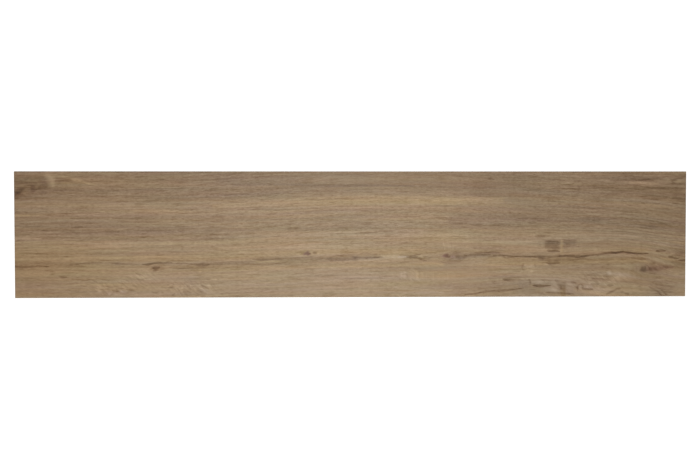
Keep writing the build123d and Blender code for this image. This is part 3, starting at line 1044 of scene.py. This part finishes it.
class OakFigure:
    """The oak board that the print was taken from, as values at points of the wear face."""

    @staticmethod
    def grain(x: Array, y: Array) -> Array:
        """Follows the grain: points on one line of it share a value.

        Args:
            x: Where each point lies along the plank, in millimetres.
            y: Where each point lies across it.

        Returns:
            Where each point's grain line would lie across a plain board.
        """
        across = y - sum(swell.rise(x, y) for swell in SWELLS.values())
        return across - sum(knot.part(x, y) for knot in KNOTS.values())

    @staticmethod
    def tones(x: Array, y: Array) -> tuple[Array, Array, Array]:
        """Adds up what the bands, knots and marks do to the print.

        Args:
            x: Where each point lies along the plank, in millimetres.
            y: Where each point lies across it.

        Returns:
            Lightness, gold and plum at each point.
        """
        tone, gold, plum = np.zeros_like(x), np.zeros_like(x), np.zeros_like(x)
        for mark in (*BANDS.values(), *PATCHES.values(), *KNOTS.values()):
            strength = mark.strength(x, y)
            tone += mark.tone * strength
            gold += mark.gold * strength
            plum += mark.plum * strength
        return tone, gold, plum

    @staticmethod
    def lines(x: Array, y: Array) -> tuple[Array, Array]:
        """Finds the nearest thin line of each point.

        Args:
            x: Where each point lies along the plank, in millimetres.
            y: Where each point lies across it.

        Returns:
            The distance from it in half-widths, and how much paler or darker it is.
        """
        reach, tone = np.full(x.shape, FAR), np.zeros_like(x)
        for line in LINES.values():
            here = reach_from(line.path, x, y)
            nearer = here < reach
            reach[nearer] = here[nearer]
            tone[nearer] = line.tone
        return reach, tone

    @staticmethod
    def rays(x: Array, y: Array) -> Array:
        """How strongly the ray flecks show at each point."""
        return np.clip(sum(patch.tone * patch.strength(x, y) for patch in RAY_PATCHES.values()), 0, 1)

    @staticmethod
    def liveliness(x: Array, y: Array) -> Array:
        """How much of their full swing the streaks have at each point."""
        return 1 - sum(patch.tone * patch.strength(x, y) for patch in QUIET_PATCHES.values())

    @staticmethod
    def rosiness(x: Array, y: Array) -> Array:
        """How much redder the print is at each point, or greener."""
        return sum(patch.tone * patch.strength(x, y) for patch in ROSY_PATCHES.values())


Input = Socket | float | tuple[float, ...]


class NodeSheet:
    """A node tree that is filled one node at a time."""

    def __init__(self, owner: bpy.types.Material | bpy.types.World) -> None:
        """Empties a node tree and holds on to it.

        Args:
            owner: The material or the world that has the tree.
        """
        owner.use_nodes = True
        self.tree = owner.node_tree
        self.tree.nodes.clear()

    def add(
        self, kind: str, inputs: dict[str | int, Input] | None = None, **settings: object
    ) -> bpy.types.Node:
        """Adds one node.

        Args:
            kind: The node's type, less the words ShaderNode.
            inputs: What goes into its sockets: another node's output, which is linked, or a value.
            settings: The node's own properties.

        Returns:
            The node.
        """
        made = self.tree.nodes.new("ShaderNode" + kind)
        for name, value in settings.items():
            setattr(made, name, value)
        for socket, value in (inputs or {}).items():
            if isinstance(value, Socket):
                self.tree.links.new(value, made.inputs[socket])
            else:
                made.inputs[socket].default_value = value
        return made


@dataclass(frozen=True)
class GrainLayer:
    """One layer of the grain: streaks of about this length and width in millimetres, and how far they swing.

    The detail is the noise's own, and the shift keeps the layer from lining up with the others.
    """

    along: float
    across: float
    swing: float
    detail: float
    shift: float

    def size(self) -> tuple[float, float, float]:
        """The size of one streak in metres, along and across the grain."""
        return self.along * MM, self.across * MM, 1.0


@dataclass(frozen=True)
class OakPrintFilm:
    """Printed vinyl film under clear urethane, hot pressed: matt brown-beige oak with sunk pores and cracks.

    The print gives the eye soft streaks along the plank with fine darker pores, and the matt coat keeps
    its gloss down to a dull sheen at a low angle.
    """

    # The print's tones from its darkest crack to its palest ray, each at its lightness
    tones: tuple[tuple[float, str], ...] = (
        (50, "#422e1a"),
        (75, "#5e472f"),
        (100, "#796045"),
        (125, "#91795e"),
        (145, "#a58e72"),
        (165, "#b9a287"),
        (190, "#d2bb9d"),
    )
    # What the print's hues lay over its tones: gold or grey, rose or green, and plum in the knots
    golden_tint: str = "#fff8e1"
    greyed_tint: str = "#f8f6f9"
    plum_tint: str = "#f7e7ff"
    rosy_tint: str = "#fff8f9"
    greened_tint: str = "#f8fefc"
    # Growth rings, then streaks of the grain from long to short
    rings: GrainLayer = GrainLayer(600, 15, 18, 1, 11)
    long_streaks: GrainLayer = GrainLayer(520, 4.6, 20, 1, 37)
    streaks: GrainLayer = GrainLayer(170, 4.2, 22, 1, 23)
    short_streaks: GrainLayer = GrainLayer(55, 3.6, 22, 1, 53)
    dashes: GrainLayer = GrainLayer(18, 3.0, 20, 1, 67)
    fibres: GrainLayer = GrainLayer(6, 2.8, 17, 1, 29)
    # Real pores are a few tenths of a millimetre wide. The fine pores come near that, for close views. From
    # above they are too fine to show, so the other pores are drawn coarser, about a pixel wide.
    pores: GrainLayer = GrainLayer(34, 2.8, -8, 1, 71)
    fine_pores: GrainLayer = GrainLayer(9, 0.55, -17, 1, 47)
    # Slow changes of hue, the sway of the grain's lines, the breaks in the cracks and the ray flecks
    hues: GrainLayer = GrainLayer(240, 7.0, 2.0, 1, 83)
    blushes: GrainLayer = GrainLayer(110, 9.0, 2.4, 1, 59)
    wander: GrainLayer = GrainLayer(150, 24, 3.0, 1, 5)
    breaks: GrainLayer = GrainLayer(24, 8.0, 0.5, 1, 13)
    flecks: GrainLayer = GrainLayer(17, 4.6, 60, 1, 91)
    # The noise of every layer: how much of it goes into its finer detail
    noise_roughness: float = 0.5
    # The flecks' lean in degrees, their curl, and how far they calm the streaks where they lie
    fleck_lean: float = -38.0
    fleck_curl: float = 0.8
    fleck_calm: float = 0.65
    # How strongly marks and lines are printed, and how far the streaks wear through them
    ink: float = 1.08
    wear: float = 0.022
    # How far a hue goes either way until its tint is full
    hue_reach: float = 1.0
    # A line's full core and its rim in half-widths, and how far the pores fray it
    line_core: float = 0.6
    line_rim: float = 2.2
    line_fray: float = 0.9
    # A line is this strong where it is whole, and the noise breaks it up between these values
    line_whole: float = 1.15
    break_start: float = 0.3
    break_full: float = 0.7
    # The noise's values where a pore begins and where it is at its deepest
    pore_start: float = 0.56
    pore_full: float = 0.72
    roughness: float = 0.52
    pore_roughness: float = 0.66
    ior: float = 1.5
    specular: float = 0.3
    # Depth of a pore, and how much deeper a line sinks for each step that it is darker
    relief: float = -0.05
    line_sink: float = -0.04

    def material(self) -> bpy.types.Material:
        """Builds the film's material.

        Returns:
            The material, for the wear face and its bevel.
        """
        film = bpy.data.materials.new("oak_print_vinyl_film")
        add = NodeSheet(film).add

        def read(name: str) -> Socket:
            """Reads one of the figure's values from the mesh."""
            return add("Attribute", attribute_name=name, attribute_type="GEOMETRY").outputs["Fac"]

        def drawn(layer: GrainLayer, place: Socket, lean: float = 0.0, curl: float = 0.0) -> Socket:
            """Draws a layer of streaks.

            Args:
                layer: The streaks.
                place: The place in the grain, or on the plank.
                lean: How far the streaks lean from the plank's run, in degrees.
                curl: How far the noise distorts them.

            Returns:
                The noise, which swings about its middle.
            """
            laid = {
                "Vector": place,
                "Location": (layer.shift, layer.shift, 0.0),
                "Rotation": (0.0, 0.0, math.radians(lean)),
                "Scale": layer.size(),
            }
            noise = {
                "Vector": add("Mapping", laid, vector_type="TEXTURE").outputs[0],
                "Scale": 1.0,
                "Detail": layer.detail,
                "Roughness": self.noise_roughness,
                "Distortion": curl,
            }
            return add("TexNoise", noise, noise_dimensions="2D").outputs[0]

        along = add("SeparateXYZ", {0: add("TexCoord").outputs["Object"]}).outputs["X"]
        metres = add("Math", {0: read(GRAIN), 1: MM}, operation="MULTIPLY").outputs[0]
        straight = add("CombineXYZ", {"X": along, "Y": metres}).outputs[0]
        swayed = {0: drawn(self.wander, straight), 1: self.wander.swing * MM, 2: metres}
        sway = add("Math", swayed, operation="MULTIPLY_ADD").outputs[0]
        place = add("CombineXYZ", {"X": along, "Y": sway}).outputs[0]

        def layered(layers: tuple[GrainLayer, ...]) -> Socket:
            """Adds up layers of streaks.

            Args:
                layers: The streaks.

            Returns:
                Steps of lightness, up or down.
            """
            total = -sum(layer.swing for layer in layers) * NOISE_MIDDLE
            for layer in layers:
                inputs = {0: drawn(layer, place), 1: layer.swing, 2: total}
                total = add("Math", inputs, operation="MULTIPLY_ADD").outputs[0]
            return total

        fleck = read(FLECK)
        lively = read(LIVELY)
        swing = add("Math", {0: fleck, 1: -self.fleck_calm, 2: lively}, operation="MULTIPLY_ADD").outputs[0]
        fine = layered((self.short_streaks, self.dashes, self.fibres))
        # The streaks wear through the marks and lines, and break them up
        worn = add("Math", {0: fine, 1: -self.wear, 2: self.ink}, operation="MULTIPLY_ADD").outputs[0]
        tone = layered((self.rings,))
        tone = add("Math", {0: read(TONE), 1: worn, 2: tone}, operation="MULTIPLY_ADD").outputs[0]
        coarse = layered((self.long_streaks, self.streaks))
        tone = add("Math", {0: coarse, 1: lively, 2: tone}, operation="MULTIPLY_ADD").outputs[0]
        tone = add("Math", {0: fine, 1: swing, 2: tone}, operation="MULTIPLY_ADD").outputs[0]

        sunk = 0.0
        for layer in (self.fine_pores, self.pores):
            pore_noise = drawn(layer, place)
            pore_range = {"Value": pore_noise, "From Min": self.pore_start, "From Max": self.pore_full}
            pore = add("MapRange", pore_range, interpolation_type="SMOOTHSTEP").outputs[0]
            dark = add("Math", {0: pore, 1: lively}, operation="MULTIPLY").outputs[0]
            tone = add("Math", {0: dark, 1: layer.swing, 2: tone}, operation="MULTIPLY_ADD").outputs[0]
            sunk = add("Math", {0: pore, 1: sunk}, operation="MAXIMUM").outputs[0]

        ray_noise = drawn(self.flecks, add("TexCoord").outputs["Object"], self.fleck_lean, self.fleck_curl)
        ray = add("Math", {0: ray_noise, 1: NOISE_MIDDLE}, operation="SUBTRACT").outputs[0]
        ray = add("Math", {0: ray, 1: fleck}, operation="MULTIPLY").outputs[0]
        tone = add("Math", {0: ray, 1: self.flecks.swing, 2: tone}, operation="MULTIPLY_ADD").outputs[0]

        # A thin line frays into the pores and breaks up along its run
        frayed = {0: pore_noise, 1: self.line_fray, 2: read(LINE_REACH)}
        line_range = {
            "Value": add("Math", frayed, operation="MULTIPLY_ADD").outputs[0],
            "From Min": self.line_core,
            "From Max": self.line_rim,
            "To Min": 1.0,
            "To Max": 0.0,
        }
        line = add("MapRange", line_range, interpolation_type="SMOOTHSTEP").outputs[0]
        line = add("Math", {0: line, 1: read(LINE_TONE)}, operation="MULTIPLY").outputs[0]
        broken = {
            "Value": drawn(self.breaks, place),
            "From Min": self.break_start,
            "From Max": self.break_full,
            "To Min": self.line_whole,
            "To Max": self.line_whole - self.breaks.swing,
        }
        line = add("Math", {0: line, 1: add("MapRange", broken).outputs[0]}, operation="MULTIPLY").outputs[0]
        line = add("Math", {0: line, 1: worn}, operation="MULTIPLY").outputs[0]
        tone = add("Math", {0: line, 1: tone}, operation="ADD").outputs[0]

        low, high = self.tones[0][0], self.tones[-1][0]
        tone_range = {"Value": tone, "From Min": low - MIDDLE_TONE, "From Max": high - MIDDLE_TONE}
        share = add("MapRange", tone_range).outputs[0]
        ramp = add("ValToRGB", {"Fac": share})
        for lightness, _ in self.tones[1:-1]:
            ramp.color_ramp.elements.new((lightness - low) / (high - low))
        for element, (_, colour) in zip(ramp.color_ramp.elements, self.tones):
            element.color = linear(colour)

        colour = ramp.outputs[0]
        hues = (
            (GOLD, self.hues, self.greyed_tint, self.golden_tint),
            (ROSY, self.blushes, self.greened_tint, self.rosy_tint),
        )
        for name, layer, low_tint, high_tint in hues:
            swung = {0: drawn(layer, place), 1: layer.swing, 2: read(name)}
            hue = add("Math", swung, operation="MULTIPLY_ADD").outputs[0]
            middle = layer.swing * NOISE_MIDDLE
            reach = {"Value": hue, "From Min": middle - self.hue_reach, "From Max": middle + self.hue_reach}
            share = add("MapRange", reach).outputs[0]
            tints = {MIX_SHARE: share, MIX_A: linear(low_tint), MIX_B: linear(high_tint)}
            tint = add("Mix", tints, data_type="RGBA").outputs[MIX_RESULT]
            tinted = {MIX_SHARE: 1.0, MIX_A: colour, MIX_B: tint}
            colour = add("Mix", tinted, data_type="RGBA", blend_type="MULTIPLY").outputs[MIX_RESULT]
        plums = {MIX_SHARE: read(PLUM), MIX_A: colour, MIX_B: linear(self.plum_tint)}
        colour = add("Mix", plums, data_type="RGBA", blend_type="MULTIPLY").outputs[MIX_RESULT]

        rough_range = {"Value": sunk, "To Min": self.roughness, "To Max": self.pore_roughness}
        rough = add("MapRange", rough_range).outputs[0]
        height = add("Math", {0: line, 1: self.line_sink, 2: sunk}, operation="MULTIPLY_ADD").outputs[0]
        bump = add("Bump", {"Strength": 1.0, "Distance": self.relief * MM, "Height": height}).outputs[0]
        surface = {
            "Base Color": colour,
            "Roughness": rough,
            "IOR": self.ior,
            "Specular IOR Level": self.specular,
            "Normal": bump,
        }
        add("OutputMaterial", {"Surface": add("BsdfPrincipled", surface).outputs[0]})
        return film


@dataclass(frozen=True)
class FilledVinyl:
    """Limestone-filled vinyl where it is cut or sanded: a plain, dull grey-beige, mottled by its filler.

    The punch leaves fine upright lines on the sides, and the sander leaves long fine lines on the back.
    """

    name: str
    dark: str
    pale: str
    mottle: tuple[float, float, float]
    lines: tuple[float, float, float]
    relief: float
    # The mottle and the lines add up to about 1, and these sums are the darkest and the palest
    darkest: float = 0.7
    palest: float = 1.3
    detail: float = 2.0
    roughness: float = 0.7
    ior: float = 1.5

    def material(self) -> bpy.types.Material:
        """Builds the vinyl's material.

        Returns:
            The material, for the sides or the back.
        """
        vinyl = bpy.data.materials.new(self.name)
        add = NodeSheet(vinyl).add
        place = add("TexCoord").outputs["Object"]
        patterns = []
        for spacing in (self.mottle, self.lines):
            scale = tuple(1 / (size * MM) for size in spacing)
            mapped = add("Mapping", {"Vector": place, "Scale": scale}).outputs[0]
            noise = {"Vector": mapped, "Scale": 1.0, "Detail": self.detail}
            patterns.append(add("TexNoise", noise).outputs[0])
        mixed = add("Math", {0: patterns[0], 1: patterns[1]}, operation="ADD").outputs[0]
        sums = {"Value": mixed, "From Min": self.darkest, "From Max": self.palest}
        share = add("MapRange", sums).outputs[0]
        colours = {MIX_SHARE: share, MIX_A: linear(self.dark), MIX_B: linear(self.pale)}
        colour = add("Mix", colours, data_type="RGBA").outputs[MIX_RESULT]
        bump = add("Bump", {"Strength": 1.0, "Distance": self.relief * MM, "Height": patterns[1]}).outputs[0]
        surface = {"Base Color": colour, "Roughness": self.roughness, "IOR": self.ior, "Normal": bump}
        add("OutputMaterial", {"Surface": add("BsdfPrincipled", surface).outputs[0]})
        return vinyl


CUT_SIDE = FilledVinyl("punched_vinyl_side", "#857a6c", "#9c9284", (6, 6, 6), (0.5, 0.5, 6), 0.03)
SANDED_BACK = FilledVinyl("sanded_vinyl_back", "#857b6e", "#9a9083", (14, 14, 14), (30, 0.7, 4), 0.03)


class Skin(Enum):
    """The plank's surfaces, in the order of its material slots."""

    FILM = 0
    SIDE = 1
    BACK = 2


def deselect_all() -> None:
    """Leaves nothing selected, so that the next operator acts on its own piece alone."""
    bpy.ops.object.select_all(action="DESELECT")


@dataclass
class VinylPlank:
    """The plank: a pressed wear face with its relief, a rolled micro-bevel, punched sides and a sanded back.

    Sizes are in millimetres. The length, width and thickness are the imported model's own.
    """

    length: float
    width: float
    thickness: float
    bevel_run: float = 0.6
    bevel_drop: float = 0.3
    bevel_easing: float = 0.8
    back_arris: float = 0.15
    cells_along: int = 480
    cells_across: int = 190
    smooth_angle: float = 20.0
    # The press at its deepest, and what cracks, knots and the slow ripples take of it
    press_depth: float = 0.16
    crack_depth: float = 0.09
    knot_depth: float = 0.05
    ripple_depth: float = 0.03
    ripple_width: float = 7.0
    # The ripples sway by this angle in radians, over these lengths along and across the grain
    sway: float = 1.7
    sway_along: float = 55.0
    sway_across: float = 21.0
    # The relief dies out this near the bevel, and only what lies this near the face's height is pressed
    quiet_rim: float = 2.0
    flat_within: float = 0.015

    @classmethod
    def on_frame(cls) -> "VinylPlank":
        """Takes the plank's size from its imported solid."""
        low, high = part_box(PLANK_NODE)
        return cls(*((high - low) / MM))

    def rim(self) -> list[tuple[float, float]]:
        """Works out the section of the edge, from the wear face round to the back.

        Returns:
            Rings as (inset from the outline, height above the back).
        """
        slope = math.atan2(self.bevel_drop, self.bevel_run)
        tangent = self.bevel_easing * math.tan(slope / 2)
        flat = self.bevel_run + tangent
        rings = []
        for turn in (0.0, slope / 2, slope):
            sunk = self.bevel_easing * (1 - math.cos(turn))
            rings.append((flat - self.bevel_easing * math.sin(turn), self.thickness - sunk))
        rings.append((0.0, self.thickness - self.bevel_drop))
        rings.append((0.0, self.back_arris))
        rings.append((self.back_arris, 0.0))
        return rings

    def build(self) -> bpy.types.Object:
        """Models the plank.

        Returns:
            The finished piece, with its place in its mesh.
        """
        piece = self.model_sheet()
        self.print_figure(piece)
        self.emboss(piece)
        self.lay_bake_map(piece)
        return piece

    def model_sheet(self) -> bpy.types.Object:
        """Models the plain sheet: a fine grid for the wear face, its rim drawn down to the closed back.

        Returns:
            The sheet, with no relief yet.
        """
        rings = self.rim()
        deselect_all()
        bpy.ops.mesh.primitive_grid_add(
            x_subdivisions=self.cells_along, y_subdivisions=self.cells_across, size=1.0, location=(0, 0, 0)
        )
        piece = bpy.context.object
        piece.name = piece.data.name = "oak_vinyl_plank"
        bpy.ops.object.mode_set(mode="EDIT")
        bpy.ops.mesh.select_all(action="SELECT")
        inset, height = rings[0]
        size = ((self.length - 2 * inset) * MM, (self.width - 2 * inset) * MM, 1.0)
        bpy.ops.transform.resize(value=size, center_override=(0, 0, 0))
        bpy.ops.transform.translate(value=(0, 0, height * MM))
        bpy.ops.mesh.select_mode(type="EDGE")
        bpy.ops.mesh.select_non_manifold(extend=False)
        for (old_inset, old_height), (inset, height) in zip(rings, rings[1:]):
            down = (0, 0, (height - old_height) * MM)
            bpy.ops.mesh.extrude_region_move(TRANSFORM_OT_translate={"value": down})
            stretch = [(side - 2 * inset) / (side - 2 * old_inset) for side in (self.length, self.width)]
            bpy.ops.transform.resize(value=(*stretch, 1.0), center_override=(0, 0, 0))
        bpy.ops.mesh.edge_face_add()
        bpy.ops.mesh.quads_convert_to_tris(ngon_method="BEAUTY")
        bpy.ops.mesh.select_all(action="SELECT")
        bpy.ops.mesh.normals_make_consistent(inside=False)
        bpy.ops.object.mode_set(mode="OBJECT")
        bpy.ops.object.shade_smooth_by_angle(angle=math.radians(self.smooth_angle))
        return piece

    @staticmethod
    def points(piece: bpy.types.Object) -> tuple[Array, Array, Array]:
        """Reads the mesh's points.

        Args:
            piece: The plank.

        Returns:
            X, Y and Z of every vertex, in millimetres.
        """
        places = np.empty(len(piece.data.vertices) * 3)
        piece.data.vertices.foreach_get("co", places)
        x, y, z = places.reshape(-1, 3).T / MM
        return x, y, z

    def print_figure(self, piece: bpy.types.Object) -> None:
        """Lays the oak figure on the mesh as named values, which the film's material reads.

        Args:
            piece: The plank.
        """
        x, y, _ = self.points(piece)
        tone, gold, plum = OakFigure.tones(x, y)
        reach, line_tone = OakFigure.lines(x, y)
        values = {
            GRAIN: OakFigure.grain(x, y),
            TONE: tone,
            GOLD: gold,
            PLUM: plum,
            ROSY: OakFigure.rosiness(x, y),
            FLECK: OakFigure.rays(x, y),
            LIVELY: OakFigure.liveliness(x, y),
            LINE_REACH: reach,
            LINE_TONE: line_tone,
        }
        for name, value in values.items():
            layer = piece.data.attributes.new(name, "FLOAT", "POINT")
            layer.data.foreach_set("value", value.astype(np.float32))

    def emboss(self, piece: bpy.types.Object) -> None:
        """Presses the relief into the wear face, in register with the print: cracks, knots and slow ripples.

        Args:
            piece: The plank.
        """
        x, y, z = self.points(piece)
        grain = OakFigure.grain(x, y)
        sway = self.sway * np.sin(x / self.sway_along + grain / self.sway_across)
        ripple = 0.5 + 0.5 * np.sin(2 * math.pi * grain / self.ripple_width + sway)
        reach, line_tone = OakFigure.lines(x, y)
        sunk_lines = falloff(reach, Edge.SOFT) * np.clip(-line_tone / DEEPEST_LINE, 0, 1)
        hearts = sum(falloff(knot.reach(x, y), Edge.SOFT) for knot in KNOTS.values())
        depth = self.ripple_depth * ripple + self.crack_depth * sunk_lines
        depth += self.knot_depth * np.clip(hearts, 0, 1)
        rim = np.minimum(self.length / 2 - np.abs(x), self.width / 2 - np.abs(y))
        depth *= np.clip((rim - self.bevel_run) / self.quiet_rim, 0, 1)
        depth[z < self.thickness - self.flat_within] = 0.0
        pressed = piece.vertex_groups.new(name="pressed")
        for index, share in enumerate(np.clip(depth / self.press_depth, 0, 1).tolist()):
            pressed.add([index], share, "REPLACE")
        press = piece.modifiers.new("press", "DISPLACE")
        press.direction = "Z"
        press.mid_level = 0.0
        press.strength = -self.press_depth * MM
        press.vertex_group = pressed.name
        bpy.ops.object.modifier_apply(modifier=press.name)

    def lay_bake_map(self, piece: bpy.types.Object) -> None:
        """Lays the piece out flat for its bake: the wear face over the sides and the back.

        Args:
            piece: The plank.
        """
        mesh = piece.data
        x, y, z = self.points(piece)
        corner = np.empty(len(mesh.loops), int)
        mesh.loops.foreach_get("vertex_index", corner)
        normal = np.empty(len(mesh.polygons) * 3)
        mesh.polygons.foreach_get("normal", normal)
        normal = normal.reshape(-1, 3)
        skin = np.full(len(mesh.polygons), Skin.SIDE.value)
        skin[normal[:, 2] > FACING] = Skin.FILM.value
        skin[normal[:, 2] < -FACING] = Skin.BACK.value
        mesh.polygons.foreach_set("material_index", skin)
        total = np.empty(len(mesh.polygons), int)
        mesh.polygons.foreach_get("loop_total", total)
        face_skin = np.repeat(skin, total)
        face_normal = np.repeat(normal, total, axis=0)
        across_x = x[corner] / self.length + 0.5
        across_y = y[corner] / self.width + 0.5
        up = z[corner] / self.thickness
        u = MAP_MARGIN + MAP_RUN * across_x
        face, back = FACE_FOOT + FACE_RISE * across_y, BACK_FOOT + BACK_RISE * across_y
        v = np.where(face_skin == Skin.FILM.value, face, back)
        for number, (axis, sign) in enumerate(((0, -1), (0, 1), (1, -1), (1, 1))):
            here = (face_skin == Skin.SIDE.value) & (face_normal[:, axis] * sign > FACING)
            run = across_y if axis == 0 else across_x
            u[here] = MAP_MARGIN + MAP_RUN * run[here]
            v[here] = MAP_MARGIN + SIDE_STEP * number + SIDE_RISE * up[here]
        layer = mesh.uv_layers.new(name=BAKE_MAP)
        layer.data.foreach_set("uv", np.stack([u, v], 1).ravel().astype(np.float32))

    def dress(self, piece: bpy.types.Object) -> None:
        """Gives the piece its finishes and puts it in its node's place.

        Args:
            piece: The plank.
        """
        for finish in (OakPrintFilm(), CUT_SIDE, SANDED_BACK):
            piece.data.materials.append(finish.material())
        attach(piece, PLANK_BODY)
        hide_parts(PLANK_NODE)


@dataclass
class WhiteStudio:
    """A white floor under one soft light, with the camera looking down on the plank. Metres and degrees."""

    floor_size: float = 14.0
    floor_gap: float = 0.05 * MM
    floor_colour: str = "#efefef"
    # Away from the light the floor glows more, so that it stays white as far as it goes
    floor_glow: float = 0.55
    far_glow: float = 1.0
    glow_reach: tuple[float, float] = (0.9, 2.6)
    sky: float = 0.21
    sky_colour: str = "#ffffff"
    light_height: float = 2.1
    light_size: tuple[float, float] = (0.9, 0.9)
    light_power: float = 10.5
    light_spread: float = 110.0
    lens: float = 50.0
    camera_place: tuple[float, float, float] = (-0.0458, 0.0495, 1.7663)
    camera_turn: tuple[float, float, float] = (-1.554, -1.325, -0.038)

    @staticmethod
    def seen(add: AddNode) -> Socket:
        """Tells the rays that see the backdrop, straight or in a reflection, from those that light the plank.

        Args:
            add: The node sheet's way to add a node.

        Returns:
            1 for a camera, glossy or transmission ray, and 0 for the rest.
        """
        path = add("LightPath").outputs
        straight = {0: path["Is Camera Ray"], 1: path["Is Glossy Ray"]}
        either = add("Math", straight, operation="MAXIMUM").outputs[0]
        return add("Math", {0: either, 1: path["Is Transmission Ray"]}, operation="MAXIMUM").outputs[0]

    def lay_floor(self) -> bpy.types.Object:
        """Lays the floor just under the plank's back.

        Returns:
            The floor.
        """
        deselect_all()
        bpy.ops.mesh.primitive_plane_add(size=self.floor_size, location=(0, 0, -self.floor_gap))
        floor = bpy.context.object
        floor.name = "white_floor"
        paper = bpy.data.materials.new("white_paper_floor")
        add = NodeSheet(paper).add
        matt = add("BsdfDiffuse", {"Color": linear(self.floor_colour)}).outputs[0]
        away = add("VectorMath", {0: add("TexCoord").outputs["Object"]}, operation="LENGTH").outputs["Value"]
        near, far = self.glow_reach
        levels = {"Value": away, "From Min": near, "From Max": far}
        levels |= {"To Min": self.floor_glow, "To Max": self.far_glow}
        level = add("MapRange", levels, interpolation_type="SMOOTHSTEP").outputs[0]
        strength = add("Math", {0: self.seen(add), 1: level}, operation="MULTIPLY").outputs[0]
        glow = add("Emission", {"Strength": strength}).outputs[0]
        both = add("AddShader", {0: matt, 1: glow}).outputs[0]
        add("OutputMaterial", {"Surface": both})
        floor.data.materials.append(paper)
        return floor

    def hang_sky(self) -> None:
        """Surrounds the scene with white, which lights it only as much as a soft fill."""
        world = bpy.data.worlds.new("white_surround")
        bpy.context.scene.world = world
        add = NodeSheet(world).add
        strength = {"Value": self.seen(add), "To Min": self.sky, "To Max": 1.0}
        shade = {"Color": linear(self.sky_colour), "Strength": add("MapRange", strength).outputs[0]}
        add("OutputWorld", {"Surface": add("Background", shade).outputs[0]})

    def hang_light(self) -> bpy.types.Object:
        """Hangs the soft light over the middle of the plank, so that it falls off a little towards the ends.

        Returns:
            The light.
        """
        deselect_all()
        bpy.ops.object.light_add(type="AREA", location=(0, 0, self.light_height))
        light = bpy.context.object
        light.name = "overhead_softbox"
        light.data.shape = "RECTANGLE"
        light.data.size, light.data.size_y = self.light_size
        light.data.energy = self.light_power
        light.data.spread = math.radians(self.light_spread)
        return light

    def set_camera(self) -> bpy.types.Object:
        """Sets the camera over the plank, a degree and a half off square as the photograph's was.

        Returns:
            The camera.
        """
        deselect_all()
        turn = tuple(math.radians(angle) for angle in self.camera_turn)
        bpy.ops.object.camera_add(location=self.camera_place, rotation=turn)
        camera = bpy.context.object
        camera.name = "overhead_camera"
        camera.data.lens = self.lens
        camera.data.dof.use_dof = False
        bpy.context.scene.camera = camera
        return camera


def main() -> None:
    """Builds the plank and its studio, and reports each piece."""
    logging.basicConfig(level=logging.INFO, format="%(name)s: %(message)s")
    bpy.context.scene.view_settings.view_transform = "Standard"
    studio = WhiteStudio()
    for made in (studio.set_camera(), studio.hang_light(), studio.lay_floor()):
        LOG.info("set out %s", made.name)
    studio.hang_sky()
    plank = VinylPlank.on_frame()
    piece = plank.build()
    plank.dress(piece)
    piece.data.calc_loop_triangles()
    LOG.info("built %s with %d triangles", piece.name, len(piece.data.loop_triangles))


if __name__ == "__main__":
    main()
